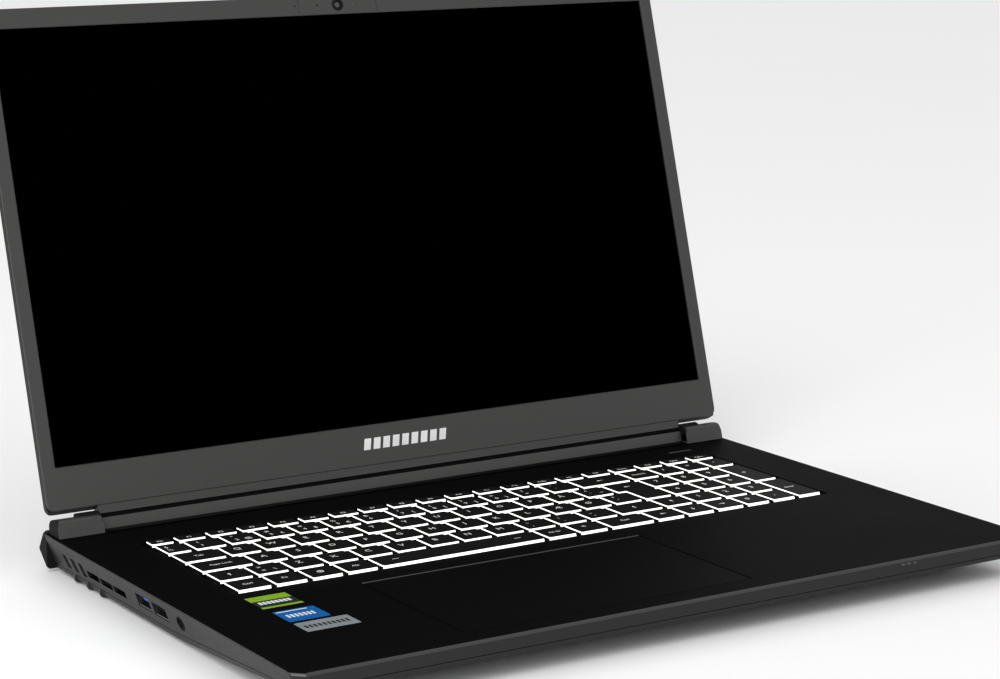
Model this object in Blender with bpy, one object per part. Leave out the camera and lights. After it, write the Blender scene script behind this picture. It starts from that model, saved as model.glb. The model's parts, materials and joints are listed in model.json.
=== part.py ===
"""A 17.3-inch laptop computer, open for use, as an assembly of separate pieces.

Units are metres. X runs to the user's right, Y to the back, Z up. The base is modelled from its own frame:
x = 0 in the middle, y = 0 at the front edge, z = 0 on the deck. The lid is modelled flat in a frame on the
hinge axis: y runs up the screen and z points out of it.
"""

import math

import bmesh
import bpy
from mathutils import Matrix, Vector

# Overall sizes of the base
WIDTH = 0.397
BASE_DEPTH = 0.2607
BASE_HEIGHT = 0.0175
SIDE_TAPER = 0.006
CORNER_CUT = 0.0052
FRONT_EDGE = 0.0012
FRONT_FACE = 0.0089
FRONT_UNDERCUT = 0.024
UNDER_CORNER = (0.0175, 0.0055)
UNDER_RUN = (0.036, 0.096)
WALL = 0.0018
GAP = 0.0003
FOOT_HEIGHT = 0.0017
FRONT_FOOT = {"inset": 0.0685, "back": 0.012, "depth": 0.008}
REAR_FOOT = {"inset": 0.0485, "from_rear": 0.0247, "depth": 0.009}

# Seam between the top case and the bottom cover
SEAM_FRONT = 0.0066
SEAM_REAR = 0.0146
SEAM_RUN = 0.130

# Lid and screen; the screen fills the lid inside its bezels, and the closed lid covers the base
LID_INSET = 0.00035
LID_FRONT_INSET = 0.0007
SIDE_BEZEL = 0.0072
TOP_BEZEL = 0.0099
BOTTOM_BEZEL = 0.0205
LID_THICKNESS = 0.006
LID_WALL = 0.0015
BEZEL_THICKNESS = 0.0012
PANEL_CLEARANCE = 0.0004
PANEL_BORDER = 0.002
PANEL_FOOT = 0.005
LIP_OVERHANG = 0.0022
LENS_RADIUS = 0.0018
WEBCAM_HALF = 0.012
OPEN_ANGLE = math.radians(106.2)

# Hinge
AXIS_FROM_REAR = 0.0057
AXIS_HEIGHT = 0.003
CLOSED_GAP = 0.0013
AXIS_TO_BEZEL = 0.0091
PIN_RADIUS = 0.0016
PIN_CLEARANCE = 0.0003
POD_WIDTH = 0.0237
POD_REACH = 0.0075
POD_INSET = 0.002
POD_PROFILE = ((143, 1.0), (130, 1.0), (105, 0.75), (80, 0.67), (58, 0.69), (40, 0.73))
TROUGH_DEPTH = 0.0034
TROUGH_RUN = 0.0122
BAR_PROUD = 0.0009
BAR_DROP = 0.003
BAR_CHAMFER = (0.0016, 0.0023)
GROOVE_LOW = 0.0027
GROOVE_WIDTH = 0.0018
GROOVE_DEPTH = 0.001
GROOVE_DRAFT = 0.0002
LEAF_THICKNESS = 0.001
LEAF_SPAN = (0.0225, 0.0045)

# Rear exhaust housing
HOUSING_DEPTH = 0.0105
HOUSING_TOP = 0.001
HOUSING_NOSE = -0.0092
HOUSING_SHELF = 0.0035

# Keyboard
KEY_PITCH = 0.0182
KEY_ROW_PITCH = 0.0184
KEY_GAP = 0.0032
KEY_TOP = 0.0007
KEY_RISE = 0.0022
KEY_WEB = 0.0006
KEY_TRAVEL = 0.0015
KEYS_CENTRE = -0.00043
LEFT_TRIM = 0.0026
KEYS_FROM_REAR = 0.0403
KEY_ROWS = 5
MAIN_UNITS = 15.7
PAD_PITCH = 0.0162
PAD_COLUMNS = 3
FUNCTION_KEYS = 20
FUNCTION_DEPTH = 0.0088
WELL_MARGIN = 0.0012
PLATE_THICKNESS = 0.0012
PLATE_RIM = 0.0015

# Touchpad and power button
PAD_WIDTH = 0.1507
PAD_DEPTH = 0.089
PAD_CENTRE = -0.035
PAD_FRONT = 0.014
PAD_THICKNESS = 0.0016
PAD_RECESS = 0.00015
SLOT_CLEARANCE = 0.0004
BUTTON_WIDTH = 0.0156
BUTTON_DEPTH = 0.0042
BUTTON_THICKNESS = 0.003
BUTTON_FROM_SIDE = 0.0391
BUTTON_FROM_REAR = 0.0252

# Cooling
FAN_RADIUS = 0.029
FAN_FROM_SIDE = 0.0575
FAN_FROM_REAR = 0.0647
FAN_HEIGHT = 0.0062
FAN_CASE_MARGIN = 0.005
FAN_WALL = 0.001
FAN_BLADES = 11
HUB_RADIUS = 0.009
BLADE_CURL = math.radians(24)
BLADE_THICKNESS = 0.0011
BLADE_BEND = 0.65
INTAKE_SLOTS = 5
FIN_STACK_WIDTH = 0.066
FIN_STACK_DEPTH = 0.008
PIPE_THICKNESS = 0.0024

# Sockets: sizes are width and height, places are distances from the rear edge
SOCKET_DEPTH = 0.0125
SOCKET_WALL = 0.0005
SOCKET_LEVEL = -0.0073
USB_SIZE = (0.0138, 0.0058)
USB_TONGUE = 0.0018
USB_FROM_REAR = {"usb_socket_rear": 0.1089, "usb_socket_front": 0.1267}
JACK_RADIUS = 0.003
JACK_BORE = 0.0018
JACK_FROM_REAR = 0.148

# Sockets in the back: middle across, width and height
REAR_LEVEL = -0.0098
REAR_SOCKETS = {
    "power_inlet": (0.078, 0.0096, 0.0072),
    "video_socket": (-0.030, 0.0152, 0.0056),
    "usb_c_socket": (-0.058, 0.0092, 0.0034),
}

# Parts on and under the mainboard: width, depth, height, and the left front corner of each
BOARD_BEHIND_PAD = 0.012
BOARD_STANDOFF = 0.0024
BOARD_THICKNESS = 0.0014
DRIVE_SIZE = (0.022, 0.080, 0.0023)
DRIVE_CORNER = (0.040, 0.010)
MEMORY_SIZE = (0.0696, 0.030, 0.0036)
MEMORY_CORNER = (-0.060, 0.010)
BATTERY_SIZE = (0.250, 0.058, 0.0055)
BATTERY_FRONT = 0.030
SPEAKER_SIZE = (0.046, 0.038)
SPEAKER_FRONT = 0.034
SPEAKER_SPACING = 0.005

# Vents
VENT_FROM_REAR = 0.0877
VENT_SLOT = 0.0138
VENT_RIB = 0.0012
VENT_HEIGHT = 0.0034
VENT_LEVEL = -0.0094
GILL_HEIGHT = 0.005
GILL_LENGTH = 0.007

HALF = WIDTH / 2
AXIS_Y = BASE_DEPTH - AXIS_FROM_REAR
LID_HALF = HALF - LID_INSET
LID_TOP = AXIS_Y - LID_FRONT_INSET
SCREEN_WIDTH = 2 * (LID_HALF - SIDE_BEZEL)
SCREEN_LOW = AXIS_TO_BEZEL + BOTTOM_BEZEL
SCREEN_HEIGHT = LID_TOP - TOP_BEZEL - SCREEN_LOW
BEZEL_FACE = AXIS_HEIGHT - CLOSED_GAP
LID_BACK = BEZEL_FACE - LID_THICKNESS
LENS_LEVEL = LID_TOP - TOP_BEZEL / 2
PANEL_FACE = BEZEL_FACE - BEZEL_THICKNESS - GAP
PANEL_BACK = LID_BACK + LID_WALL + PANEL_CLEARANCE
LEAN = math.pi - OPEN_ANGLE
REAR_REACH = AXIS_Y + LID_TOP * math.cos(LEAN) - LID_BACK * math.sin(LEAN)
POD_INNER = HALF - POD_INSET - POD_WIDTH
FLOOR = -BASE_HEIGHT + WALL
WEB_TOP = KEY_TOP - KEY_RISE
PLATE_TOP = WEB_TOP - KEY_WEB - KEY_TRAVEL - GAP
KEYS_WIDTH = MAIN_UNITS * KEY_PITCH + PAD_COLUMNS * PAD_PITCH
KEYS_LEFT = KEYS_CENTRE - KEYS_WIDTH / 2
KEYS_EDGE = KEYS_LEFT + LEFT_TRIM
KEYS_RIGHT = KEYS_CENTRE + KEYS_WIDTH / 2
KEYS_REAR = BASE_DEPTH - KEYS_FROM_REAR
KEYS_FRONT = KEYS_REAR - FUNCTION_DEPTH - KEY_ROWS * KEY_ROW_PITCH
BUTTON_CENTRE = (HALF - BUTTON_FROM_SIDE, BASE_DEPTH - BUTTON_FROM_REAR)
FAN_CENTRE = (HALF - FAN_FROM_SIDE, BASE_DEPTH - FAN_FROM_REAR)
FAN_CASE_HALF = FAN_RADIUS + FAN_CASE_MARGIN
USB_PLACES = {name: BASE_DEPTH - back for name, back in USB_FROM_REAR.items()}
JACK_PLACE = BASE_DEPTH - JACK_FROM_REAR
VENT_FRONT = BASE_DEPTH - VENT_FROM_REAR

# Colour, roughness and metallic value of each finish
FINISHES = {
    "shell": ((0.035, 0.035, 0.036), 0.45, 0.0),
    "deck": ((0.012, 0.012, 0.013), 0.40, 0.0),
    "lid": ((0.050, 0.050, 0.050), 0.42, 0.2),
    "screen": ((0.002, 0.002, 0.002), 0.12, 0.0),
    "key": ((0.012, 0.012, 0.012), 0.50, 0.0),
    "plate": ((0.85, 0.87, 0.90), 0.60, 0.0),
    "steel": ((0.55, 0.56, 0.58), 0.35, 1.0),
    "copper": ((0.72, 0.40, 0.25), 0.35, 1.0),
    "circuit": ((0.01, 0.09, 0.05), 0.50, 0.0),
    "plastic": ((0.02, 0.02, 0.02), 0.55, 0.0),
    "rubber": ((0.015, 0.015, 0.015), 0.85, 0.0),
}


def clear_scene():
    for thing in list(bpy.context.scene.objects):
        bpy.data.objects.remove(thing)


def frame(name, parent=None, place=(0, 0, 0), tilt=0.0):
    """An empty that carries a group of pieces; tilt turns it about X."""
    holder = bpy.data.objects.new(name, None)
    bpy.context.scene.collection.objects.link(holder)
    holder.parent = parent
    holder.location = place
    holder.rotation_euler = (tilt, 0, 0)
    return holder


def paint(piece, finish):
    colour, roughness, metallic = FINISHES[finish]
    material = bpy.data.materials.new(piece.name + "_finish")
    material.use_nodes = True
    shader = material.node_tree.nodes["Principled BSDF"]
    shader.inputs["Base Color"].default_value = (*colour, 1)
    shader.inputs["Roughness"].default_value = roughness
    shader.inputs["Metallic"].default_value = metallic
    piece.data.materials.append(material)


def piece_from(shape, name, parent, finish=None):
    """Turns a bmesh into an object; with no finish it is a cutter."""
    bmesh.ops.recalc_face_normals(shape, faces=shape.faces[:])
    mesh = bpy.data.meshes.new(name)
    shape.to_mesh(mesh)
    shape.free()
    piece = bpy.data.objects.new(name, mesh)
    bpy.context.scene.collection.objects.link(piece)
    piece.parent = parent
    if finish:
        paint(piece, finish)
    else:
        piece.hide_render = True
        piece.display_type = "WIRE"
    return piece


def box_shape(low, high):
    shape = bmesh.new()
    bmesh.ops.create_cube(shape, size=1.0)
    low, high = Vector(low), Vector(high)
    size = high - low
    for vert in shape.verts:
        vert.co = (low + high) / 2 + Vector(a * b for a, b in zip(vert.co, size))
    return shape


def profile_shape(points, start, end):
    """An outline in (y, z) drawn out along x from start to end."""
    shape = bmesh.new()
    rings = [[shape.verts.new((x, y, z)) for y, z in points] for x in (start, end)]
    shape.faces.new(rings[0])
    shape.faces.new(reversed(rings[1]))
    count = len(points)
    for i in range(count):
        j = (i + 1) % count
        shape.faces.new((rings[0][i], rings[1][i], rings[1][j], rings[0][j]))
    return shape


def turned(shape, matrix):
    bmesh.ops.transform(shape, matrix=matrix, verts=shape.verts[:])
    return shape


def plan_shape(points, low, high):
    """An outline in (x, y) drawn up from low to high."""
    stand_up = Matrix(((0, 1, 0, 0), (0, 0, 1, 0), (1, 0, 0, 0), (0, 0, 0, 1)))
    return turned(profile_shape(points, low, high), stand_up)


def front_shape(points, front, rear):
    """An outline in (x, z) drawn back from front to rear."""
    swap = Matrix(((0, 1, 0, 0), (1, 0, 0, 0), (0, 0, 1, 0), (0, 0, 0, 1)))
    return turned(profile_shape(points, front, rear), swap)


def rod_shape(radius, start, end, sides=20):
    """A round rod along x about the x axis."""
    points = []
    for i in range(sides):
        angle = math.tau * (i + 0.5) / sides
        points.append((radius * math.cos(angle), radius * math.sin(angle)))
    return profile_shape(points, start, end)


def lofted(levels):
    """A closed body through plan outlines; each level is (height, outline) from the top down."""
    shape = bmesh.new()
    rings = [[shape.verts.new((x, y, z)) for x, y in outline] for z, outline in levels]
    shape.faces.new(rings[0])
    shape.faces.new(reversed(rings[-1]))
    count = len(rings[0])
    for upper, lower in zip(rings, rings[1:]):
        for i in range(count):
            j = (i + 1) % count
            shape.faces.new((upper[i], lower[i], lower[j], upper[j]))
    return shape


def combine(piece, other, operation):
    change = piece.modifiers.new(other.name, "BOOLEAN")
    change.operation = operation
    change.solver = "EXACT"
    change.object = other


def cut(piece, cutter):
    combine(piece, cutter, "DIFFERENCE")


def cut_box(piece, name, low, high):
    cut(piece, piece_from(box_shape(low, high), name, piece.parent))


def box(name, low, high, parent, finish):
    return piece_from(box_shape(low, high), name, parent, finish)


def smooth(piece):
    piece.data.shade_smooth()
    piece.data.set_sharp_from_angle(angle=math.radians(40))


# ---------------------------------------------------------------- base shells


def half_width(height):
    return HALF + SIDE_TAPER * height / BASE_HEIGHT


def base_outline(height, front, inset=0.0, rear=None):
    """Plan outline at a height above the deck (negative below): straight sides and two cut front corners."""
    side = half_width(height) - inset
    corner = CORNER_CUT
    back = (BASE_DEPTH if rear is None else rear) - inset
    right = [(side - cut_in, front + corner - cut_in) for cut_in in (corner, corner / 2, 0)]
    right.append((side, back))
    return right + [(-x, y) for x, y in reversed(right)]


def underside_outline(height, front, inset=0.0, rear=None):
    """Plan outline of the underside, whose front corners are drawn far in."""
    side = half_width(height) - inset
    back = (BASE_DEPTH if rear is None else rear) - inset
    right = [(side - cut_in, front + run) for cut_in, run in zip(UNDER_CORNER + (0.0,), (0.0,) + UNDER_RUN)]
    right.append((side, back))
    return right + [(-x, y) for x, y in reversed(right)]


def base_body():
    """The outer form that the top case and the bottom cover are both cut from."""
    return lofted(
        [
            (0, base_outline(0, FRONT_EDGE)),
            (-FRONT_EDGE, base_outline(-FRONT_EDGE, 0)),
            (-FRONT_FACE, base_outline(-FRONT_FACE, FRONT_EDGE / 2)),
            (-BASE_HEIGHT, underside_outline(-BASE_HEIGHT, FRONT_UNDERCUT)),
        ]
    )


def cavity_shape():
    """The room inside the base, in front of the hinge trough."""
    rear = BASE_DEPTH - TROUGH_RUN
    return lofted(
        [
            (-WALL, base_outline(-WALL, WALL * 2, WALL, rear)),
            (-FRONT_FACE, base_outline(-FRONT_FACE, WALL * 2, WALL, rear)),
            (FLOOR, underside_outline(FLOOR, FRONT_UNDERCUT + WALL, WALL, rear)),
        ]
    )


def seam_profile(shift, outer):
    """Outline of everything on one side of the seam; outer is the height of its far edge."""
    front, rear = -SEAM_FRONT + shift, -SEAM_REAR + shift
    reach = WIDTH
    slope = (rear - front) / SEAM_RUN
    return [(-reach, front - slope * reach), (SEAM_RUN, rear), (reach, rear), (reach, outer), (-reach, outer)]


def hollow_out(shell):
    cut(shell, piece_from(cavity_shape(), shell.name + "_room", shell.parent))
    rear_room = BASE_DEPTH - TROUGH_RUN - WALL - GAP
    side = half_width(FLOOR) - WALL * 2
    ceiling = -TROUGH_DEPTH - WALL
    cut_box(shell, shell.name + "_rear_room", (-side, rear_room, FLOOR), (side, BASE_DEPTH - WALL, ceiling))


def slot_starts(first, size, rib, count):
    return [first + i * (size + rib) for i in range(count)]


def side_vent(shell, side):
    """A row of open slots in one side wall, and slanted gills behind them."""
    outer = side * (HALF + WALL)
    inner = side * (HALF - SIDE_TAPER - WALL * 2)
    low, high = VENT_LEVEL - VENT_HEIGHT / 2, VENT_LEVEL + VENT_HEIGHT / 2
    x = sorted((outer, inner))
    for i, y in enumerate(slot_starts(VENT_FRONT, VENT_SLOT, VENT_RIB, 3)):
        name = f"{shell.name}_vent_{i}_{'left' if side < 0 else 'right'}"
        cut_box(shell, name, (x[0], y, low), (x[1], y + VENT_SLOT, high))
    first_gill = VENT_FRONT + 3 * (VENT_SLOT + VENT_RIB) + VENT_RIB
    for i, y in enumerate(slot_starts(first_gill, GILL_LENGTH, VENT_RIB * 2, 3)):
        slant = GILL_HEIGHT / 2
        outline = [
            (y, low - VENT_RIB),
            (y + GILL_LENGTH - slant, low - VENT_RIB),
            (y + GILL_LENGTH, low + GILL_HEIGHT),
            (y + slant, low + GILL_HEIGHT),
        ]
        name = f"{shell.name}_gill_{i}_{'left' if side < 0 else 'right'}"
        cut(shell, piece_from(profile_shape(outline, x[0], x[1]), name, shell.parent))


def palm_rest_deck(base):
    deck = piece_from(base_body(), "palm_rest_deck", base, "deck")
    below = profile_shape(seam_profile(0, -WIDTH), -WIDTH, WIDTH)
    cut(deck, piece_from(below, "below_seam", base))
    hollow_out(deck)
    trough_low = (-POD_INNER + GAP, BASE_DEPTH - TROUGH_RUN, -TROUGH_DEPTH)
    cut_box(deck, "hinge_trough", trough_low, (POD_INNER - GAP, BASE_DEPTH + WALL, WALL))
    margin = WELL_MARGIN
    low = (KEYS_EDGE - margin, KEYS_FRONT - margin, -WALL * 2)
    cut_box(deck, "keyboard_opening", low, (KEYS_RIGHT + margin, KEYS_REAR + margin, WALL))
    low = (PAD_CENTRE - PAD_WIDTH / 2 - SLOT_CLEARANCE, PAD_FRONT - SLOT_CLEARANCE, -WALL * 2)
    high = (PAD_CENTRE + PAD_WIDTH / 2 + SLOT_CLEARANCE, PAD_FRONT + PAD_DEPTH + SLOT_CLEARANCE, WALL)
    cut_box(deck, "touchpad_opening", low, high)
    x, y = BUTTON_CENTRE
    w, d = BUTTON_WIDTH / 2 + SLOT_CLEARANCE, BUTTON_DEPTH / 2 + SLOT_CLEARANCE
    cut_box(deck, "button_opening", (x - w, y - d, -WALL * 2), (x + w, y + d, WALL))
    for side in (-1, 1):
        side_vent(deck, side)
    side_openings(deck)
    rear_openings(deck)
    return deck


def side_openings(deck):
    """Openings for the sockets in the left wall and the card socket in the right one."""
    width, height = USB_SIZE
    reach = HALF - SIDE_TAPER - WALL * 2
    for name, y in USB_PLACES.items():
        w, h = width / 2 + GAP, height / 2 + GAP
        low = (-HALF - WALL, y - w, SOCKET_LEVEL - h)
        cut_box(deck, name + "_opening", low, (-reach, y + w, SOCKET_LEVEL + h))
    move = Matrix.Translation((0, JACK_PLACE, SOCKET_LEVEL))
    hole = turned(rod_shape(JACK_RADIUS + GAP, -HALF - WALL, -reach), move)
    cut(deck, piece_from(hole, "jack_opening", deck.parent))
    w, h = width / 2 + GAP, height / 2 + GAP
    y = USB_PLACES["usb_socket_rear"]
    high = (HALF + WALL, y + w, SOCKET_LEVEL + h)
    cut_box(deck, "right_usb_opening", (reach, y - w, SOCKET_LEVEL - h), high)


def rear_vents():
    """Left edge of each exhaust slot in the back."""
    first = FAN_CENTRE[0] - (4 * VENT_SLOT + 3 * VENT_RIB) / 2
    right = slot_starts(first, VENT_SLOT, VENT_RIB, 4)
    return right + [-x - VENT_SLOT for x in right]


def rear_openings(shell):
    low, high = REAR_LEVEL - VENT_HEIGHT, REAR_LEVEL + VENT_HEIGHT
    front, rear = BASE_DEPTH - WALL * 2, BASE_DEPTH + HOUSING_DEPTH + WALL
    for i, x in enumerate(rear_vents()):
        cut_box(shell, f"{shell.name}_exhaust_{i}", (x, front, low), (x + VENT_SLOT, rear, high))
    for name, (x, width, height) in REAR_SOCKETS.items():
        w, h = width / 2 + GAP, height / 2 + GAP
        low = (x - w, front, REAR_LEVEL - h)
        cut_box(shell, f"{shell.name}_{name}_opening", low, (x + w, rear, REAR_LEVEL + h))


def bottom_cover(base):
    cover = piece_from(base_body(), "bottom_cover", base, "shell")
    above = profile_shape(seam_profile(-GAP, WIDTH), -WIDTH, WIDTH)
    cut(cover, piece_from(above, "above_seam", base))
    hollow_out(cover)
    slot, rib = FAN_RADIUS / 6, FAN_RADIUS / 9
    for side in (-1, 1):
        for i in range(INTAKE_SLOTS):
            y = FAN_CENTRE[1] + (i - (INTAKE_SLOTS - 1) / 2) * (slot + rib) - slot / 2
            x = side * FAN_CENTRE[0]
            name = f"intake_{i}_{'left' if side < 0 else 'right'}"
            reach = FAN_RADIUS * 0.6
            cut_box(cover, name, (x - reach, y, -BASE_HEIGHT - WALL), (x + reach, y + slot, FLOOR + WALL))
    return cover


def rear_exhaust_housing(base):
    front = BASE_DEPTH + GAP
    nose = BASE_DEPTH + HOUSING_DEPTH
    outline = [
        (front, HOUSING_TOP),
        (front + HOUSING_SHELF, HOUSING_TOP),
        (nose, HOUSING_NOSE),
        (front + GAP * 2, -BASE_HEIGHT),
        (front, -BASE_HEIGHT),
    ]
    reach = HALF - POD_INSET / 2
    housing = piece_from(profile_shape(outline, -reach, reach), "rear_exhaust_housing", base, "shell")
    rear_openings(housing)
    return housing


def foot(name, base, inset, front, depth):
    top = -BASE_HEIGHT - GAP
    half = HALF - inset
    return box(name, (-half, front, top - FOOT_HEIGHT), (half, front + depth, top), base, "rubber")


# ---------------------------------------------------------------- hinge


def pod_outline():
    """Side outline of a hinge pod: a leaning front and a top that falls back, inside the lid's sweep."""
    foot_level = GAP
    front = AXIS_Y - POD_REACH - GAP * 2
    points = [(front, foot_level)]
    for degrees, share in POD_PROFILE:
        angle = math.radians(degrees)
        reach = POD_REACH * share
        points.append((AXIS_Y + reach * math.cos(angle), AXIS_HEIGHT + reach * math.sin(angle)))
    points.append((BASE_DEPTH - GAP * 4, foot_level))
    return points


def pod_room():
    """Low and high corners, in y and z, of the room inside a pod."""
    reach = PIN_RADIUS * 2
    return (AXIS_Y - reach, -GAP), (AXIS_Y + reach, AXIS_HEIGHT + reach)


def hinge_pod(base, side):
    word = "left" if side < 0 else "right"
    x = sorted((side * POD_INNER, side * (POD_INNER + POD_WIDTH)))
    pod = piece_from(profile_shape(pod_outline(), *x), f"{word}_hinge_pod", base, "shell")
    low, high = pod_room()
    inner = sorted((side * (POD_INNER - WALL), side * (POD_INNER + POD_WIDTH - WALL * 2)))
    cut_box(pod, f"{word}_pod_room", (inner[0], *low), (inner[1], *high))
    return pod


def hinge_bracket(base, side):
    """Base half of a hinge: a block with a bore, screwed to the deck inside the pod."""
    word = "left" if side < 0 else "right"
    low, high = pod_room()
    start = side * (POD_INNER + WALL)
    end = side * (POD_INNER + POD_WIDTH - WALL * 3)
    x = sorted((start, end))
    block = box(
        f"{word}_hinge_bracket",
        (x[0], low[0] + GAP, GAP),
        (x[1], high[0] - GAP, high[1] - GAP),
        base,
        "steel",
    )
    move = Matrix.Translation((0, AXIS_Y, AXIS_HEIGHT))
    bore = turned(rod_shape(PIN_RADIUS + PIN_CLEARANCE, x[0] - WALL, x[1] + WALL), move)
    cut(block, piece_from(bore, f"{word}_hinge_bore", base))
    return block


def leaf_reach():
    """Inner and outer ends of a hinge leaf's plate, across the lid."""
    return POD_INNER - LEAF_SPAN[0], POD_INNER - LEAF_SPAN[1]


def hinge_leaf(lid, side):
    """Lid half of a hinge: a plate in the lid, an arm through the hinge bar, and the pin it carries."""
    word = "left" if side < 0 else "right"
    back = LID_BACK + LID_WALL + GAP
    front = back + LEAF_THICKNESS
    reach = PIN_RADIUS * 0.75
    top = SCREEN_LOW - PANEL_FOOT - GAP * 2
    outline = [(top, back), (top, front), (reach, front), (reach, 0), (-reach, 0), (-reach, back)]
    x = sorted(side * end for end in leaf_reach())
    leaf = piece_from(profile_shape(outline, *x), f"{word}_hinge_leaf", lid, "steel")
    ends = sorted((side * (leaf_reach()[0] + WALL), side * (POD_INNER + POD_WIDTH - WALL * 4)))
    pin = piece_from(rod_shape(PIN_RADIUS, *ends), f"{word}_hinge_pin_stock", lid)
    combine(leaf, pin, "UNION")
    smooth(leaf)
    return leaf


# ---------------------------------------------------------------- lid


def edge_at(depth):
    """Height of the lid's slanted bottom edge at a depth from the axis plane."""
    return AXIS_TO_BEZEL - LIP_OVERHANG * (BEZEL_FACE - depth) / LID_THICKNESS


def leaf_passage(piece, side):
    """Room for a hinge leaf where it passes the lid's bottom edge."""
    word = "left" if side < 0 else "right"
    x = sorted(side * end for end in leaf_reach())
    low = (x[0] - GAP, 0, LID_BACK + LID_WALL)
    high = (x[1] + GAP, AXIS_TO_BEZEL + WALL * 3, LID_BACK + LID_WALL + LEAF_THICKNESS + GAP * 2)
    cut_box(piece, f"{piece.name}_{word}_passage", low, high)


def lid_back_cover(lid):
    rim = BEZEL_FACE - BEZEL_THICKNESS - GAP
    outline = [(edge_at(LID_BACK), LID_BACK), (edge_at(rim), rim), (LID_TOP, rim), (LID_TOP, LID_BACK)]
    cover = piece_from(profile_shape(outline, -LID_HALF, LID_HALF), "lid_back_cover", lid, "lid")
    low = (-LID_HALF + LID_WALL, AXIS_TO_BEZEL + LID_WALL, LID_BACK + LID_WALL)
    cut_box(cover, "lid_room", low, (LID_HALF - LID_WALL, LID_TOP - LID_WALL, BEZEL_FACE))
    for side in (-1, 1):
        leaf_passage(cover, side)
    return cover


def screen_bezel(lid):
    back = BEZEL_FACE - BEZEL_THICKNESS
    outline = [(edge_at(back), back), (edge_at(BEZEL_FACE), BEZEL_FACE)]
    outline += [(LID_TOP, BEZEL_FACE), (LID_TOP, back)]
    bezel = piece_from(profile_shape(outline, -LID_HALF, LID_HALF), "screen_bezel", lid, "lid")
    high = (SCREEN_WIDTH / 2, SCREEN_LOW + SCREEN_HEIGHT, BEZEL_FACE + WALL)
    cut_box(bezel, "screen_opening", (-SCREEN_WIDTH / 2, SCREEN_LOW, back - WALL), high)
    hole = lens_shape(LENS_RADIUS + GAP, back - WALL, BEZEL_FACE + WALL)
    cut(bezel, piece_from(hole, "lens_opening", lid))
    return bezel


def lens_shape(radius, low, high):
    """A short round barrel standing out of the screen plane at the camera's place."""
    upright = Matrix.Translation((0, LENS_LEVEL, 0)) @ Matrix.Rotation(-math.pi / 2, 4, "Y")
    return turned(rod_shape(radius, low, high), upright)


def display_panel(lid):
    side = SCREEN_WIDTH / 2 + PANEL_BORDER
    high = (side, SCREEN_LOW + SCREEN_HEIGHT + PANEL_BORDER, PANEL_FACE)
    return box("display_panel", (-side, SCREEN_LOW - PANEL_FOOT, PANEL_BACK), high, lid, "screen")


def webcam_module(lid):
    low = (-WEBCAM_HALF, SCREEN_LOW + SCREEN_HEIGHT + PANEL_BORDER + GAP, PANEL_BACK)
    high = (WEBCAM_HALF, LID_TOP - LID_WALL - GAP, PANEL_FACE)
    module = box("webcam_module", low, high, lid, "plastic")
    barrel = lens_shape(LENS_RADIUS, (PANEL_FACE + PANEL_BACK) / 2, BEZEL_FACE - GAP)
    combine(module, piece_from(barrel, "lens_stock", lid), "UNION")
    return module


def hinge_bar_cover(lid):
    """The long cover below the screen that hides the hinges and turns with the lid."""
    front = BEZEL_FACE
    proud = BEZEL_FACE + BAR_PROUD
    groove = BEZEL_FACE - GROOVE_DEPTH
    groove_top = GROOVE_LOW + GROOVE_WIDTH
    lowest = -BAR_DROP - BAR_CHAMFER[0]
    outline = [
        (edge_at(front) - GAP, front),
        (groove_top + GROOVE_DRAFT, front),
        (groove_top, groove),
        (GROOVE_LOW, groove),
        (GROOVE_LOW - GROOVE_DRAFT, proud),
        (-BAR_DROP, proud),
        (lowest, proud - BAR_CHAMFER[1]),
        (lowest, LID_BACK + BAR_CHAMFER[0]),
        (-BAR_DROP, LID_BACK),
        (edge_at(LID_BACK) - GAP, LID_BACK),
    ]
    reach = POD_INNER - GAP
    bar = piece_from(profile_shape(outline, -reach, reach), "hinge_bar_cover", lid, "lid")
    for side in (-1, 1):
        leaf_passage(bar, side)
        room = PIN_RADIUS + PIN_CLEARANCE
        x = sorted((side * (leaf_reach()[0] - GAP), side * (POD_INNER + WALL)))
        name = f"bar_room_{'left' if side < 0 else 'right'}"
        cut_box(bar, name, (x[0], -room, LID_BACK + LID_WALL), (x[1], room, room))
    return bar


# ---------------------------------------------------------------- keyboard and pointing


def key_spans(first, widths, pitch):
    """Left and right edges of caps that lie side by side, each width in units of the pitch.

    Caps in the outer left column are a little narrower than their units say.
    """
    spans = []
    for width in widths:
        spans.append((first + KEY_GAP / 2, first + width * pitch - KEY_GAP / 2))
        first += width * pitch
    spans[0] = (max(spans[0][0], KEYS_EDGE + KEY_GAP / 2), spans[0][1])
    return spans


def key_group(name, base, spans, front, depth):
    """Caps that share a carrier strip: one crenellated outline drawn along the row."""
    points = []
    for left, right in spans:
        points += [(left, WEB_TOP), (left, KEY_TOP), (right, KEY_TOP), (right, WEB_TOP)]
    bottom = WEB_TOP - KEY_WEB
    points = [points[0][:1] + (bottom,)] + points[1:-1] + [points[-1][:1] + (bottom,)]
    rear = front + depth
    group = piece_from(front_shape(points, front, rear), name, base, "key")
    group.data.transform(Matrix.Translation((-spans[0][0], -front, 0)))
    group.location = (spans[0][0], front, 0)
    return group


def enter_key(base, left, front):
    """The stepped enter key over two rows."""
    cap = KEY_ROW_PITCH - KEY_GAP
    right = KEYS_LEFT + (MAIN_UNITS - 1) * KEY_PITCH - KEY_GAP / 2
    step = left + KEY_PITCH / 4
    rear = front + KEY_ROW_PITCH + cap
    low = left + KEY_GAP / 2
    outline = [(step + KEY_GAP / 2, front), (right, front), (right, rear), (low, rear)]
    outline += [(low, front + KEY_ROW_PITCH), (step + KEY_GAP / 2, front + KEY_ROW_PITCH)]
    return piece_from(plan_shape(outline, WEB_TOP - KEY_WEB, KEY_TOP), "key_enter", base, "key")


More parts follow.
